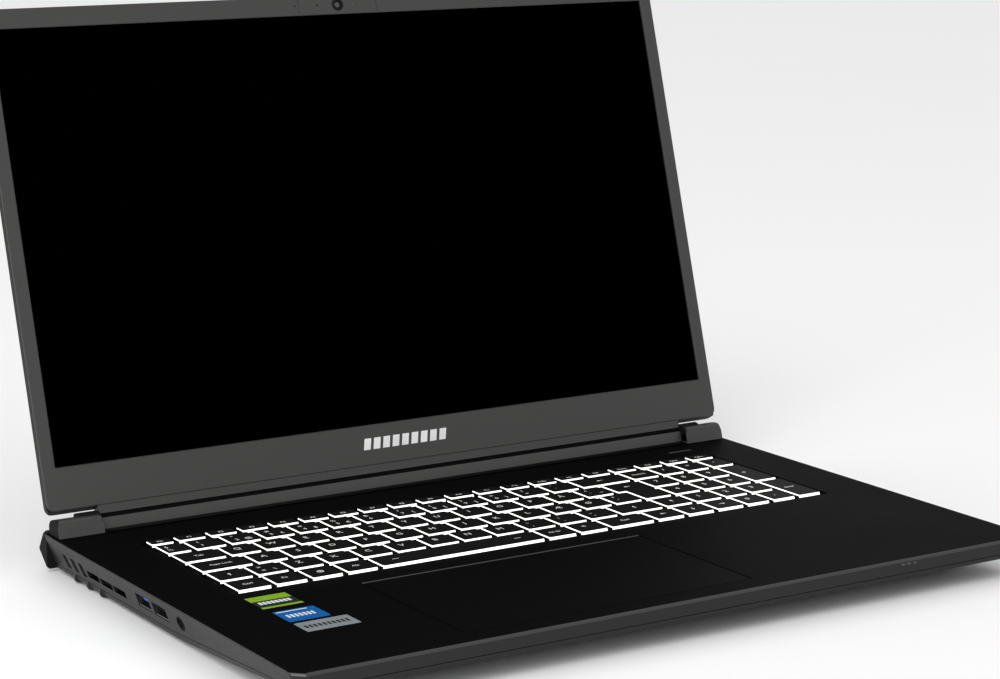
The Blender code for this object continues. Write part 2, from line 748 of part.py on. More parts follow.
def keyboard_keys(base):
    cap = KEY_ROW_PITCH - KEY_GAP
    tall = cap + KEY_ROW_PITCH
    fronts = [KEYS_FRONT + KEY_GAP / 2 + i * KEY_ROW_PITCH for i in range(KEY_ROWS + 1)]
    left = KEYS_LEFT

    def at(units):
        return left + units * KEY_PITCH

    rows = [
        ("keys_bottom_left", 0, 0, [1.2, 1, 1, 1]),
        ("key_space", 0, 4.2, [5]),
        ("keys_bottom_right", 0, 9.2, [1, 1, 1.5]),
        ("key_arrow_left", 0, 12.7, [1]),
        ("key_arrow_down", 0, 13.7, [1]),
        ("key_arrow_right", 0, 14.7, [1]),
        ("keys_lower_letter_row", 1, 0, [1.2] + [1] * 11),
        ("key_right_shift", 1, 12.2, [1.5]),
        ("key_arrow_up", 1, 13.7, [1]),
        ("keys_home_letter_row", 2, 0, [1.7] + [1] * 11 + [1]),
        ("keys_upper_letter_row", 3, 0, [1.45] + [1] * 12),
        ("keys_number_row", 4, 0, [0.95] + [1] * 12),
        ("key_backspace", 4, 12.95, [1.75]),
    ]
    for name, row, start, widths in rows:
        key_group(name, base, key_spans(at(start), widths, KEY_PITCH), fronts[row], cap)
    enter_key(base, at(13.45), fronts[2])
    pitch = KEYS_WIDTH / FUNCTION_KEYS
    spans = key_spans(left, [1] * FUNCTION_KEYS, pitch)
    key_group("keys_function_row", base, spans, fronts[KEY_ROWS], FUNCTION_DEPTH - KEY_GAP / 2)
    pad = at(MAIN_UNITS)
    digit = at(MAIN_UNITS - 1)
    number_spans = key_spans(digit, [1], KEY_PITCH) + key_spans(pad, [1, 1], PAD_PITCH)
    key_group("keys_numpad_123", base, number_spans, fronts[1], cap)
    key_group("keys_numpad_456", base, number_spans, fronts[2], cap)
    key_group("keys_numpad_789", base, number_spans, fronts[3], cap)
    top_spans = key_spans(digit, [1], KEY_PITCH) + key_spans(pad, [1, 1, 1], PAD_PITCH)
    key_group("keys_numpad_top", base, top_spans, fronts[4], cap)
    key_group("keys_numpad_zero_point", base, key_spans(pad, [1, 1], PAD_PITCH), fronts[0], cap)
    last = key_spans(pad + (PAD_COLUMNS - 1) * PAD_PITCH, [1], PAD_PITCH)
    key_group("key_numpad_enter", base, last, fronts[0], tall)
    key_group("key_numpad_plus", base, last, fronts[2], tall)


def keyboard_plate(base):
    """A shallow tray under the keys, hung below the deck."""
    rim = PLATE_RIM + WELL_MARGIN
    low = (KEYS_EDGE - rim, KEYS_FRONT - rim, PLATE_TOP - PLATE_THICKNESS)
    high = (KEYS_RIGHT + rim, KEYS_REAR + rim, -WALL - GAP)
    plate = box("keyboard_plate", low, high, base, "plate")
    room = (KEYS_EDGE - WELL_MARGIN / 2, KEYS_FRONT - WELL_MARGIN / 2, PLATE_TOP)
    end = (KEYS_RIGHT + WELL_MARGIN / 2, KEYS_REAR + WELL_MARGIN / 2, WALL)
    cut_box(plate, "keyboard_room", room, end)
    return plate


def touchpad(base):
    """The pad tips about its rear edge, so its origin is there."""
    rear = PAD_FRONT + PAD_DEPTH
    holder = frame("touchpad_tip", base, (PAD_CENTRE, rear, -PAD_RECESS))
    half = PAD_WIDTH / 2
    return box("touchpad", (-half, -PAD_DEPTH, -PAD_THICKNESS), (half, 0, 0), holder, "deck")


def power_button(base):
    x, y = BUTTON_CENTRE
    w, d = BUTTON_WIDTH / 2, BUTTON_DEPTH / 2
    holder = frame("power_button_press", base, (x, y, 0))
    return box("power_button", (-w, -d, -BUTTON_THICKNESS), (w, d, -GAP / 2), holder, "plastic")


# ---------------------------------------------------------------- inside


def fan_levels():
    """Bottom and top of a fan housing."""
    low = FLOOR + GAP
    return low, low + FAN_HEIGHT + FAN_WALL * 2


def fan_housing(base, side):
    word = "left" if side < 0 else "right"
    x, y = side * FAN_CENTRE[0], FAN_CENTRE[1]
    half = FAN_CASE_HALF
    low, high = fan_levels()
    house = box(f"{word}_fan_housing", (x - half, y - half, low), (x + half, y + half, high), base, "plastic")
    upright = Matrix.Translation((x, y, 0)) @ Matrix.Rotation(-math.pi / 2, 4, "Y")
    room = turned(rod_shape(FAN_RADIUS + FAN_WALL, low + FAN_WALL, high + FAN_WALL, 28), upright)
    cut(house, piece_from(room, f"{word}_fan_room", base))
    eye = turned(rod_shape(FAN_RADIUS * 0.7, low - FAN_WALL, low + FAN_WALL * 2, 28), upright)
    post = turned(rod_shape(HUB_RADIUS, low - FAN_WALL * 2, low + FAN_WALL * 3, 28), upright)
    eye_cutter = piece_from(eye, f"{word}_fan_eye", base)
    cut(eye_cutter, piece_from(post, f"{word}_fan_post", base))
    arm = FAN_WALL
    reach = FAN_RADIUS
    arm_end = (x + reach, y + arm, low + arm * 3)
    cut_box(eye_cutter, f"{word}_fan_arm", (x - reach, y - arm, low - arm), arm_end)
    cut(house, eye_cutter)
    reach = half - FAN_WALL
    outlet = (x + reach, y + half + FAN_WALL, high + FAN_WALL)
    cut_box(house, f"{word}_fan_outlet", (x - reach, y, low + FAN_WALL), outlet)
    return house


def fan_rotor(base, side):
    """A hub with curved blades, as one outline drawn up; its origin is on its axis."""
    word = "left" if side < 0 else "right"
    low = fan_levels()[0] + FAN_WALL + GAP
    holder = frame(f"{word}_fan_spin", base, (side * FAN_CENTRE[0], FAN_CENTRE[1], low))
    points = []
    bend = FAN_RADIUS * BLADE_BEND
    corners = [(HUB_RADIUS, -1), (bend, -1), (FAN_RADIUS, -1), (FAN_RADIUS, 1), (bend, 1), (HUB_RADIUS, 1)]
    for i in range(FAN_BLADES):
        for radius, lead in corners:
            swept = BLADE_CURL * (radius / FAN_RADIUS) ** 2
            half_blade = BLADE_THICKNESS / radius / 2
            points.append((radius, math.tau * i / FAN_BLADES + swept + lead * half_blade))
    outline = [(r * math.cos(a), r * math.sin(a)) for r, a in points]
    shape = plan_shape(outline, 0, FAN_HEIGHT - GAP)
    return piece_from(shape, f"{word}_fan_rotor", holder, "plastic")


def heat_pipe_assembly(base):
    """Two fin stacks soldered to the ends of one flat pipe."""
    low = FLOOR + GAP * 2
    high = low + FAN_HEIGHT
    front = FAN_CENTRE[1] + FAN_CASE_HALF + GAP * 2
    middle, pipe = (low + high) / 2, PIPE_THICKNESS / 2
    inner = FAN_CENTRE[0] - FIN_STACK_WIDTH / 2
    outer = FAN_CENTRE[0] + FIN_STACK_WIDTH / 2
    right = [(inner, middle - pipe), (inner, low), (outer, low)]
    right += [(outer, high), (inner, high), (inner, middle + pipe)]
    outline = right + [(-x, z) for x, z in reversed(right)]
    shape = front_shape(outline, front, front + FIN_STACK_DEPTH)
    return piece_from(shape, "heat_pipe_assembly", base, "copper")


def socket(name, base, low, high, mouth, tongue):
    """A socket shell open on one side (mouth is -x, +x or +y) with a tongue standing in it."""
    shell = box(name, low, high, base, "steel")
    axis = 0 if mouth in ("-x", "+x") else 1
    inner_low = [value + SOCKET_WALL for value in low]
    inner_high = [value - SOCKET_WALL for value in high]
    if mouth[0] == "-":
        inner_low[axis] = low[axis] - SOCKET_WALL
    else:
        inner_high[axis] = high[axis] + SOCKET_WALL
    room = piece_from(box_shape(inner_low, inner_high), name + "_room", base)
    centre = [(a + b) / 2 for a, b in zip(low, high)]
    tongue_low = [value + SOCKET_WALL * 4 for value in low]
    tongue_high = [value - SOCKET_WALL * 4 for value in high]
    tongue_low[2], tongue_high[2] = centre[2] - tongue / 2, centre[2] + tongue / 2
    if mouth[0] == "-":
        tongue_high[axis] = high[axis]
    else:
        tongue_low[axis] = low[axis]
    cut(room, piece_from(box_shape(tongue_low, tongue_high), name + "_tongue", base))
    cut(shell, room)
    return shell


def side_sockets(base):
    width, height = USB_SIZE
    lowest = half_width(SOCKET_LEVEL - height / 2)
    face = lowest - GAP
    low_z, high_z = SOCKET_LEVEL - height / 2, SOCKET_LEVEL + height / 2
    for name, y in USB_PLACES.items():
        low = (-face, y - width / 2, low_z)
        socket(name, base, low, (-face + SOCKET_DEPTH, y + width / 2, high_z), "-x", USB_TONGUE)
    y = USB_PLACES["usb_socket_rear"]
    low = (face - SOCKET_DEPTH, y - width / 2, low_z)
    socket("usb_socket_right", base, low, (face, y + width / 2, high_z), "+x", USB_TONGUE)
    move = Matrix.Translation((0, JACK_PLACE, SOCKET_LEVEL))
    sleeve = turned(rod_shape(JACK_RADIUS, -face, -face + SOCKET_DEPTH), move)
    jack = piece_from(sleeve, "headset_socket", base, "plastic")
    bore = turned(rod_shape(JACK_BORE, -face - WALL, -face + SOCKET_DEPTH * 0.8), move)
    cut(jack, piece_from(bore, "headset_bore", base))
    smooth(jack)


def back_sockets(base):
    rear = BASE_DEPTH + HOUSING_DEPTH * 0.55
    for name, (x, width, height) in REAR_SOCKETS.items():
        low = (x - width / 2, rear - SOCKET_DEPTH, REAR_LEVEL - height / 2)
        socket(name, base, low, (x + width / 2, rear, REAR_LEVEL + height / 2), "+y", height / 3)


def circuit_parts(base):
    """Mainboard, the drive and memory on it, battery and speakers."""
    board_low = FLOOR + BOARD_STANDOFF
    board_top = board_low + BOARD_THICKNESS
    reach = FAN_CENTRE[0] - FAN_CASE_HALF - GAP * 4
    front, rear = PAD_FRONT + PAD_DEPTH + BOARD_BEHIND_PAD, FAN_CENTRE[1] + FAN_CASE_HALF
    box("mainboard", (-reach, front, board_low), (reach, rear, board_top), base, "circuit")
    on_board = [("solid_state_drive", DRIVE_SIZE, DRIVE_CORNER)]
    on_board.append(("memory_module", MEMORY_SIZE, MEMORY_CORNER))
    for name, size, (x, y) in on_board:
        low = Vector((x, front + y, board_top + GAP))
        box(name, low, low + Vector(size), base, "circuit")
    width, depth, height = BATTERY_SIZE
    top = -WALL - PAD_THICKNESS - GAP * 2
    low = (-width / 2, BATTERY_FRONT, top - height)
    box("battery_pack", low, (width / 2, BATTERY_FRONT + depth, top), base, "plastic")
    inner = width / 2 + SPEAKER_SPACING
    for side, word in ((-1, "left"), (1, "right")):
        x = sorted((side * inner, side * (inner + SPEAKER_SIZE[0])))
        low = (x[0], SPEAKER_FRONT, top - height)
        box(f"{word}_speaker", low, (x[1], SPEAKER_FRONT + SPEAKER_SIZE[1], top), base, "plastic")


def build_laptop():
    clear_scene()
    stand = BASE_HEIGHT + GAP + FOOT_HEIGHT
    base = frame("base", None, (0, -REAR_REACH / 2, stand))
    lid = frame("lid", base, (0, AXIS_Y, AXIS_HEIGHT), LEAN)
    palm_rest_deck(base)
    bottom_cover(base)
    rear_exhaust_housing(base)
    foot("front_foot", base, FRONT_FOOT["inset"], FRONT_UNDERCUT + FRONT_FOOT["back"], FRONT_FOOT["depth"])
    foot("rear_foot", base, REAR_FOOT["inset"], BASE_DEPTH - REAR_FOOT["from_rear"], REAR_FOOT["depth"])
    for side in (-1, 1):
        hinge_pod(base, side)
        hinge_bracket(base, side)
        hinge_leaf(lid, side)
        fan_housing(base, side)
        fan_rotor(base, side)
    lid_back_cover(lid)
    screen_bezel(lid)
    display_panel(lid)
    webcam_module(lid)
    hinge_bar_cover(lid)
    keyboard_keys(base)
    keyboard_plate(base)
    touchpad(base)
    power_button(base)
    heat_pipe_assembly(base)
    side_sockets(base)
    back_sockets(base)
    circuit_parts(base)


build_laptop()
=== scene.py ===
"""Looks of a large laptop computer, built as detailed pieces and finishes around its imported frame.

Units are metres. BASE is the middle of the deck's front edge and LID lies on the hinge axis, so a piece is
drawn in the frame of the part that carries it: x to the right, y away from the user or up the screen, and z
out of the deck or out of the screen.
"""

import json
import math

import bmesh
import bpy
from mathutils import Matrix, Vector


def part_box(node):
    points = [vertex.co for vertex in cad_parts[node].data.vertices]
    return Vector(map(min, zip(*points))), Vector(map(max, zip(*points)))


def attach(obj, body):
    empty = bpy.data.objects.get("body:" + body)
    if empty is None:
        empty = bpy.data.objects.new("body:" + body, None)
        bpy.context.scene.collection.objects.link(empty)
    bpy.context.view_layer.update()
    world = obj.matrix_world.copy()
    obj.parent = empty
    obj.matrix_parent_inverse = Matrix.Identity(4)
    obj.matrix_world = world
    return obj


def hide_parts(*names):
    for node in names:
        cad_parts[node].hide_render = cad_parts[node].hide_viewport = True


bl_info = {
    "name": "Laptop Computer Looks",
    "version": (1, 0, 0),
    "blender": (4, 5, 0),
    "location": "View3D > Sidebar > Laptop",
    "description": "Builds the visible pieces and finishes of a laptop computer around its frame",
    "category": "Object",
}

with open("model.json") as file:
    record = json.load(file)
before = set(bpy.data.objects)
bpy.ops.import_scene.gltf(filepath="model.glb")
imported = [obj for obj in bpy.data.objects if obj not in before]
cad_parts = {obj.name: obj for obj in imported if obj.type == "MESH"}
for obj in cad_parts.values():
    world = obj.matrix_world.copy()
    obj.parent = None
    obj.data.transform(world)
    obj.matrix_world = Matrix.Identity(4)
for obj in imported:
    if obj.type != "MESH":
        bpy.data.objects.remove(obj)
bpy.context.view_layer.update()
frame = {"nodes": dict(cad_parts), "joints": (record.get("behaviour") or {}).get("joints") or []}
NODES = frame["nodes"]
MM = 0.001

# ---- places taken from the frame

DECK_LOW, DECK_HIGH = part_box("palm_rest_deck")
HALF = DECK_HIGH.x
DEPTH = DECK_HIGH.y - DECK_LOW.y
HEIGHT = DECK_HIGH.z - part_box("bottom_cover")[0].z
BASE = Matrix.Translation((0, DECK_LOW.y, DECK_HIGH.z))
HINGE = next(joint for joint in frame["joints"] if joint["name"] == "lid_hinge")
AXIS = BASE.inverted() @ Vector(HINGE["pos_m"])
LEAN = math.pi - math.radians(HINGE["range_deg"][1])
LID = Matrix.Translation(HINGE["pos_m"]) @ Matrix.Rotation(LEAN, 4, "X")

# Form of the case, as in the frame's own solids
SIDE_TAPER = 6.0 * MM
CORNER_CUT = 5.2 * MM
FRONT_EDGE = 1.2 * MM
FRONT_FACE = 8.9 * MM
FRONT_UNDERCUT = 24.0 * MM
# Front corners, as how far each point lies in from the side and back from the front
UPPER_CORNER = ((CORNER_CUT, 0.0), (CORNER_CUT / 2, CORNER_CUT / 2), (0.0, CORNER_CUT))
UNDER_CORNER = ((17.5 * MM, 0.0), (5.5 * MM, 36.0 * MM), (0.0, 96.0 * MM))


def local_points(node, place=BASE):
    turn = place.inverted()
    return [turn @ vert.co for vert in NODES[node].data.vertices]


def local_box(node, place=BASE):
    """Lowest and highest corner of a CAD node in the frame of BASE or LID."""
    points = local_points(node, place)
    low = Vector([min(p[i] for p in points) for i in range(3)])
    high = Vector([max(p[i] for p in points) for i in range(3)])
    return low, high


# ---- shapes


CORNER_REACH = 0.45  # the most of a side that the rounding at one end may take


def rounded(points, radius, steps=4, grow=0.0):
    """The outline, drawn anticlockwise, moved out by grow and with its corners rounded."""
    count = len(points)
    corners = []
    for i in range(count):
        before, here, after = (Vector(points[j % count]) for j in (i - 1, i, i + 1))
        into, out = (here - before).normalized(), (after - here).normalized()
        first = Vector((into.y, -into.x))
        normal = first + Vector((out.y, -out.x))
        corners.append(here + normal * (grow / normal.dot(first)))
    result = []
    for i in range(count):
        before, here, after = corners[i - 1], corners[i], corners[(i + 1) % count]
        into, out = before - here, after - here
        reach = min(radius, into.length * CORNER_REACH, out.length * CORNER_REACH)
        start, end = here + into.normalized() * reach, here + out.normalized() * reach
        for k in range(steps + 1):
            t = k / steps
            result.append(start * (1 - t) ** 2 + here * (2 * t * (1 - t)) + end * t * t)
    return [tuple(p) for p in result]


def rectangle(low_x, low_y, high_x, high_y):
    return [(low_x, low_y), (high_x, low_y), (high_x, high_y), (low_x, high_y)]


def lofted(levels):
    """A closed body through outlines with as many points each; levels are (height, outline) going up."""
    shape = bmesh.new()
    rings = [[shape.verts.new((x, y, z)) for x, y in outline] for z, outline in levels]
    count = len(rings[0])
    shape.faces.new(reversed(rings[0]))
    shape.faces.new(rings[-1])
    for lower, upper in zip(rings, rings[1:]):
        for i in range(count):
            j = (i + 1) % count
            shape.faces.new((lower[i], lower[j], upper[j], upper[i]))
    return shape


def layered(rows, outline, radius, steps):
    """A closed body through one outline; rows are (height, how far the outline is moved out) going up."""
    return lofted([(z, rounded(outline, radius, steps, grow)) for z, grow in rows])


def slab(low, high):
    return lofted([(z, rectangle(low[0], low[1], high[0], high[1])) for z in (low[2], high[2])])


def pillow(low, high, edge, radius, steps=3):
    """A box with rounded upright corners and a small rounding at the top and bottom edges."""
    rows = [(low[2], -edge), (low[2] + edge, 0), (high[2] - edge, 0)]
    rows += [(high[2] - edge * 0.3, -edge * 0.3), (high[2], -edge)]
    return layered(rows, rectangle(low[0], low[1], high[0], high[1]), radius, steps)


ALONG_X = Matrix(((0, 0, 1, 0), (1, 0, 0, 0), (0, 1, 0, 0), (0, 0, 0, 1)))


def across(points, start, end):
    """An outline in (y, z) drawn along x."""
    return moved(lofted([(x, points) for x in (start, end)]), ALONG_X)


def circle(radius, sides):
    turns = [math.tau * i / sides for i in range(sides)]
    return [(radius * math.cos(turn), radius * math.sin(turn)) for turn in turns]


def disc(radius, low, high, sides=32, edge=0.0):
    """A round plate whose upper rim may have a bevel."""
    levels = [(low, radius), (high, radius - edge)]
    if edge:
        levels.insert(1, (high - edge, radius))
    return lofted([(z, circle(r, sides)) for z, r in levels])


def tube(radius, bore, low, high, sides=32):
    """A round ring with square edges."""
    shape = bmesh.new()
    loops = []
    for r, z in ((radius, low), (radius, high), (bore, high), (bore, low)):
        loops.append([shape.verts.new((x, y, z)) for x, y in circle(r, sides)])
    for here, after in zip(loops, loops[1:] + loops[:1]):
        for i in range(sides):
            j = (i + 1) % sides
            shape.faces.new((here[i], here[j], after[j], after[i]))
    return shape


def moved(shape, matrix):
    bmesh.ops.transform(shape, matrix=matrix, verts=shape.verts[:])
    return shape


def shifted(shape, x, y, z):
    return moved(shape, Matrix.Translation((x, y, z)))


def joined(shapes):
    """One mesh from several bodies; each keeps the material index it was given."""
    whole = bmesh.new()
    for shape in shapes:
        part = bpy.data.meshes.new("part")
        shape.to_mesh(part)
        shape.free()
        whole.from_mesh(part)
        bpy.data.meshes.remove(part)
    return whole


def marked(shape, index):
    """Gives every face of the shape one material index."""
    for face in shape.faces:
        face.material_index = index
    return shape


SAME_POINT = 0.001 * MM
SAME_PLANE = math.radians(0.5)


def solid_of(node, place):
    """A clean copy of a CAD node's solid in the frame of BASE or LID."""
    shape = bmesh.new()
    shape.from_mesh(NODES[node].data)
    bmesh.ops.remove_doubles(shape, verts=shape.verts[:], dist=SAME_POINT)
    bmesh.ops.dissolve_limit(shape, angle_limit=SAME_PLANE, verts=shape.verts[:], edges=shape.edges[:])
    return marked(moved(shape, place.inverted()), 0)


def carved(shape, tools, operation="DIFFERENCE"):
    """The shape after the tools, which don't touch one another, are cut from it or kept of it."""
    holder = thing_from(shape, "carved")
    tool = thing_from(joined(tools), "tool")
    change = holder.modifiers.new("carve", "BOOLEAN")
    change.operation = operation
    change.solver = "EXACT"
    change.object = tool
    bpy.context.view_layer.update()
    result = bmesh.new()
    result.from_object(holder, bpy.context.evaluated_depsgraph_get())
    for thing in (holder, tool):
        bpy.data.objects.remove(thing)
    return result


def trimmed(node, envelope, place=BASE):
    """A CAD node's solid as far as it lies in an envelope with softer edges."""
    return carved(solid_of(node, place), [envelope], "INTERSECT")


def placed(name, data):
    thing = bpy.data.objects.new(name, data)
    bpy.context.scene.collection.objects.link(thing)
    return thing


def thing_from(shape, name):
    bmesh.ops.recalc_face_normals(shape, faces=shape.faces[:])
    mesh = bpy.data.meshes.new(name)
    shape.to_mesh(mesh)
    shape.free()
    return placed(name, mesh)


def piece(name, shape, body, looks, replaces=(), smooth=35):
    """A finished piece, put in its place and riding on its body, with one finish or several."""
    thing = thing_from(moved(shape, LID if body == "lid" else BASE), name)
    for look in [looks] if isinstance(looks, str) else looks:
        thing.data.materials.append(finish(look))
    thing.data.shade_smooth()
    thing.data.set_sharp_from_angle(angle=math.radians(smooth))
    thing.modifiers.new("flat_faces", "WEIGHTED_NORMAL").keep_sharp = True
    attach(thing, body)
    if replaces:
        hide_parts(*replaces)
    return thing


# ---- finishes


class Socket:
    """A shader value for use in sums; each sum adds its Math node."""

    def __init__(self, tree, source):
        self.tree = tree
        self.source = source

    def sum(self, operation, *values):
        node = self.tree.nodes.new("ShaderNodeMath")
        node.operation = operation
        for slot, value in zip(node.inputs, values):
            feed(self.tree, slot, value)
        return Socket(self.tree, node.outputs[0])

    def __add__(self, other):
        return self.sum("ADD", self, other)

    def __radd__(self, other):
        return self.sum("ADD", other, self)

    def __sub__(self, other):
        return self.sum("SUBTRACT", self, other)

    def __rsub__(self, other):
        return self.sum("SUBTRACT", other, self)

    def __mul__(self, other):
        return self.sum("MULTIPLY", self, other)

    def __rmul__(self, other):
        return self.sum("MULTIPLY", other, self)

    def __gt__(self, other):
        return self.sum("GREATER_THAN", self, other)

    def __lt__(self, other):
        return self.sum("LESS_THAN", self, other)


def feed(tree, slot, value):
    if isinstance(value, Socket):
        tree.links.new(value.source, slot)
    else:
        slot.default_value = value


class Finish:
    """One material with a Principled shader; constants go straight onto its sockets."""

    def __init__(self, name, **constants):
        self.material = bpy.data.materials.new(name)
        self.material.use_nodes = True
        self.tree = self.material.node_tree
        self.shader = self.tree.nodes["Principled BSDF"]
        self.place = self.node("ShaderNodeTexCoord", output="Object")
        for label, value in constants.items():
            self.set(label.replace("_", " "), value)

    def set(self, label, value):
        feed(self.tree, self.shader.inputs[label], value)

    def node(self, kind, settings=None, values=None, output=0):
        """Any node: its settings are set first, then the values or links of its sockets."""
        node = self.tree.nodes.new(kind)
        for label, setting in (settings or {}).items():
            setattr(node, label, setting)
        for label, value in (values or {}).items():
            feed(self.tree, node.inputs[label], value)
        return Socket(self.tree, node.outputs[output])

    def noise(self, size, detail=2.0, stretch=(1, 1, 1)):
        """Cloudy noise whose patches are about size across, from 0 to 1."""
        place = self.node("ShaderNodeMapping", {}, {"Vector": self.place, "Scale": stretch})
        return self.node("ShaderNodeTexNoise", {}, {"Vector": place, "Scale": 1 / size, "Detail": detail})

    def blend(self, share, first, second):
        """A colour between two; each is three numbers or a socket."""
        values = {0: share}
        for slot, colour in ((6, first), (7, second)):
            values[slot] = colour if isinstance(colour, Socket) else (*colour, 1)
        return self.node("ShaderNodeMix", {"data_type": "RGBA"}, values, output=2)

    def bump(self, height, depth, strength=1.0):
        values = {"Height": height, "Distance": depth, "Strength": strength}
        self.set("Normal", self.node("ShaderNodeBump", {}, values))


def shade(colour, factor):
    return tuple(min(1.0, part * factor) for part in colour)


FINE_GRAIN = 0.35 * MM
HAND_MARK = 42 * MM
RUB_MARK = 6 * MM
DRAWN_LINES = (1, 12, 12)


def moulded(name, colour, roughness, grain=FINE_GRAIN, depth=0.02 * MM, smudge=0.08, gloss=0.5, metallic=0):
    """Fine-textured plastic or paint: speckled colour, patchy sheen and a pebbled surface."""
    look = Finish(name, Specular_IOR_Level=gloss, Metallic=metallic)
    fine = look.noise(grain, 3.0)
    hands = look.noise(HAND_MARK, 3.0)
    rubs = look.noise(RUB_MARK, 5.0)
    speckled = look.blend(fine, shade(colour, 0.80), shade(colour, 1.20))
    look.set("Base Color", look.blend(hands * 0.5, speckled, shade(colour, 1.18)))
    look.set("Roughness", roughness + (hands - 0.5) * smudge * 2 + (rubs - 0.5) * smudge)
    look.bump(fine, depth)
    return look.material


def metal(name, colour, roughness):
    """Bare metal with fine drawn lines."""
    look = Finish(name, Metallic=1.0)
    lines = look.noise(1.2 * MM, 4.0, DRAWN_LINES)
    dull = look.noise(9 * MM, 3.0)
    look.set("Base Color", look.blend(lines, shade(colour, 0.72), colour))
    look.set("Roughness", roughness + (lines - 0.5) * 0.16 + (dull - 0.5) * 0.2)
    look.bump(lines, 0.01 * MM, 0.6)
    return look.material


def glowing(name, colour, strength):
    """Milky plastic lit from behind, a little uneven along its length."""
    look = Finish(name, Roughness=0.45, Emission_Strength=strength)
    patch = look.noise(7 * MM, 2.0)
    look.set("Base Color", look.blend(patch, shade(colour, 0.85), colour))
    look.set("Emission Color", look.blend(patch, shade(colour, 0.75), colour))
    look.bump(look.noise(0.3 * MM), 0.005 * MM, 0.4)
    return look.material


def circuit(name, colour, pad_colour=(0.65, 0.52, 0.24)):
    """Solder mask over copper tracks, with pads."""
    look = Finish(name, Roughness=0.3, Coat_Weight=0.4, Coat_Roughness=0.2)
    bricks = {"Vector": look.place, "Scale": 420.0, "Mortar Size": 0.05, "Brick Width": 1.7}
    bricks["Row Height"] = 0.35
    tracks = look.node("ShaderNodeTexBrick", {"offset": 0.37}, bricks, output=1)
    cells = look.node("ShaderNodeTexVoronoi", {}, {"Vector": look.place, "Scale": 260.0})
    pads = cells < 0.16
    masked = look.blend(tracks, colour, shade(colour, 1.9))
    look.set("Base Color", look.blend(pads, masked, pad_colour))
    look.set("Metallic", pads * 0.9)
    look.bump(tracks + pads, 0.03 * MM)
    return look.material


def panel_glass(name, colour):
    """Matt film of a screen that is off, with a very fine sparkle and specks of dust."""
    look = Finish(name, Specular_IOR_Level=0.0)
    sparkle = look.noise(0.12 * MM, 1.0)
    dust = look.noise(2.5 * MM, 6.0) > 0.68
    look.set("Base Color", look.blend(dust, colour, shade(colour, 1.6)))
    look.set("Roughness", 0.42 + (sparkle - 0.5) * 0.1)
    look.bump(sparkle, 0.004 * MM, 0.4)
    return look.material


def foil(name, colour, roughness=0.35):
    """Printed label film."""
    look = Finish(name, Coat_Weight=0.06, Coat_Roughness=0.3, Specular_IOR_Level=0.1)
    grain = look.noise(0.5 * MM)
    sweep = look.noise(11 * MM)
    look.set("Base Color", look.blend(sweep, shade(colour, 0.8), shade(colour, 1.15)))
    look.set("Roughness", roughness + (grain - 0.5) * 0.1)
    look.bump(grain, 0.004 * MM, 0.5)
    return look.material


def glass(name, colour):
    look = Finish(name, Roughness=0.05, Coat_Weight=1.0, Coat_Roughness=0.02)
    tint = look.noise(1.5 * MM)
    look.set("Base Color", look.blend(tint, colour, shade(colour, 2.0)))
    return look.material


# ---- what a user would change


def colour_property(name, part, default):
    text = "Colour of the " + part
    return bpy.props.FloatVectorProperty(
        name=name, description=text, default=default, subtype="COLOR", size=3, min=0.0, max=1.0
    )


def length_property(name, description, default):
    return bpy.props.FloatProperty(
        name=name, description=description, default=default, min=0.0, unit="LENGTH"
    )


class LaptopColours(bpy.types.PropertyGroup):
    deck: colour_property("Deck", "top case around the keys", (0.0024, 0.0024, 0.0026))
    # The case colour is partly the case's own and partly painted light: it is set lighter than the deck for
    # the light that falls on the sides and the front.
    shell: colour_property("Case", "sides and the underside", (0.0125, 0.0125, 0.0125))
    lid: colour_property("Lid", "lid, its bezel and the hinge cover", (0.044, 0.044, 0.043))
    screen: colour_property("Screen", "screen when it is off", (0.0001, 0.0001, 0.0001))
    cap: colour_property("Key top", "painted key tops", (0.008, 0.008, 0.008))
    light: colour_property("Key light", "light round the keys", (1.0, 0.985, 0.96))
    legend: colour_property("Legend", "marks on the keys", (0.30, 0.30, 0.29))
    label_a: colour_property("Upper label", "upper label", (0.23, 0.42, 0.02))
    label_b: colour_property("Middle label", "middle label", (0.008, 0.115, 0.37))
    label_c: colour_property("Lower label", "lower label", (0.24, 0.26, 0.27))


class LaptopSizes(bpy.types.PropertyGroup):
    edge: length_property("Edge rounding", "Rounding of the case's outer edges", 0.5 * MM)
    lid_corner: length_property("Lid corner", "Radius of the lid's corners in front view", 4.5 * MM)
    cap_corner: length_property("Key corner", "Radius of a key's corners", 0.9 * MM)
    cap_skirt: length_property("Key skirt", "How far a key's lit sides spread below the top", 0.35 * MM)
    legend_depth: length_property("Legend depth", "Thickness of the marks on the keys", 0.03 * MM)


def sizes():
    return bpy.context.scene.laptop_sizes


def colour(name):
    return tuple(getattr(bpy.context.scene.laptop_colours, name))


MADE = {}


def finish(name):
    """The named finish, made once."""
    if name not in MADE:
        MADE[name] = RECIPES[name]()
    return MADE[name]


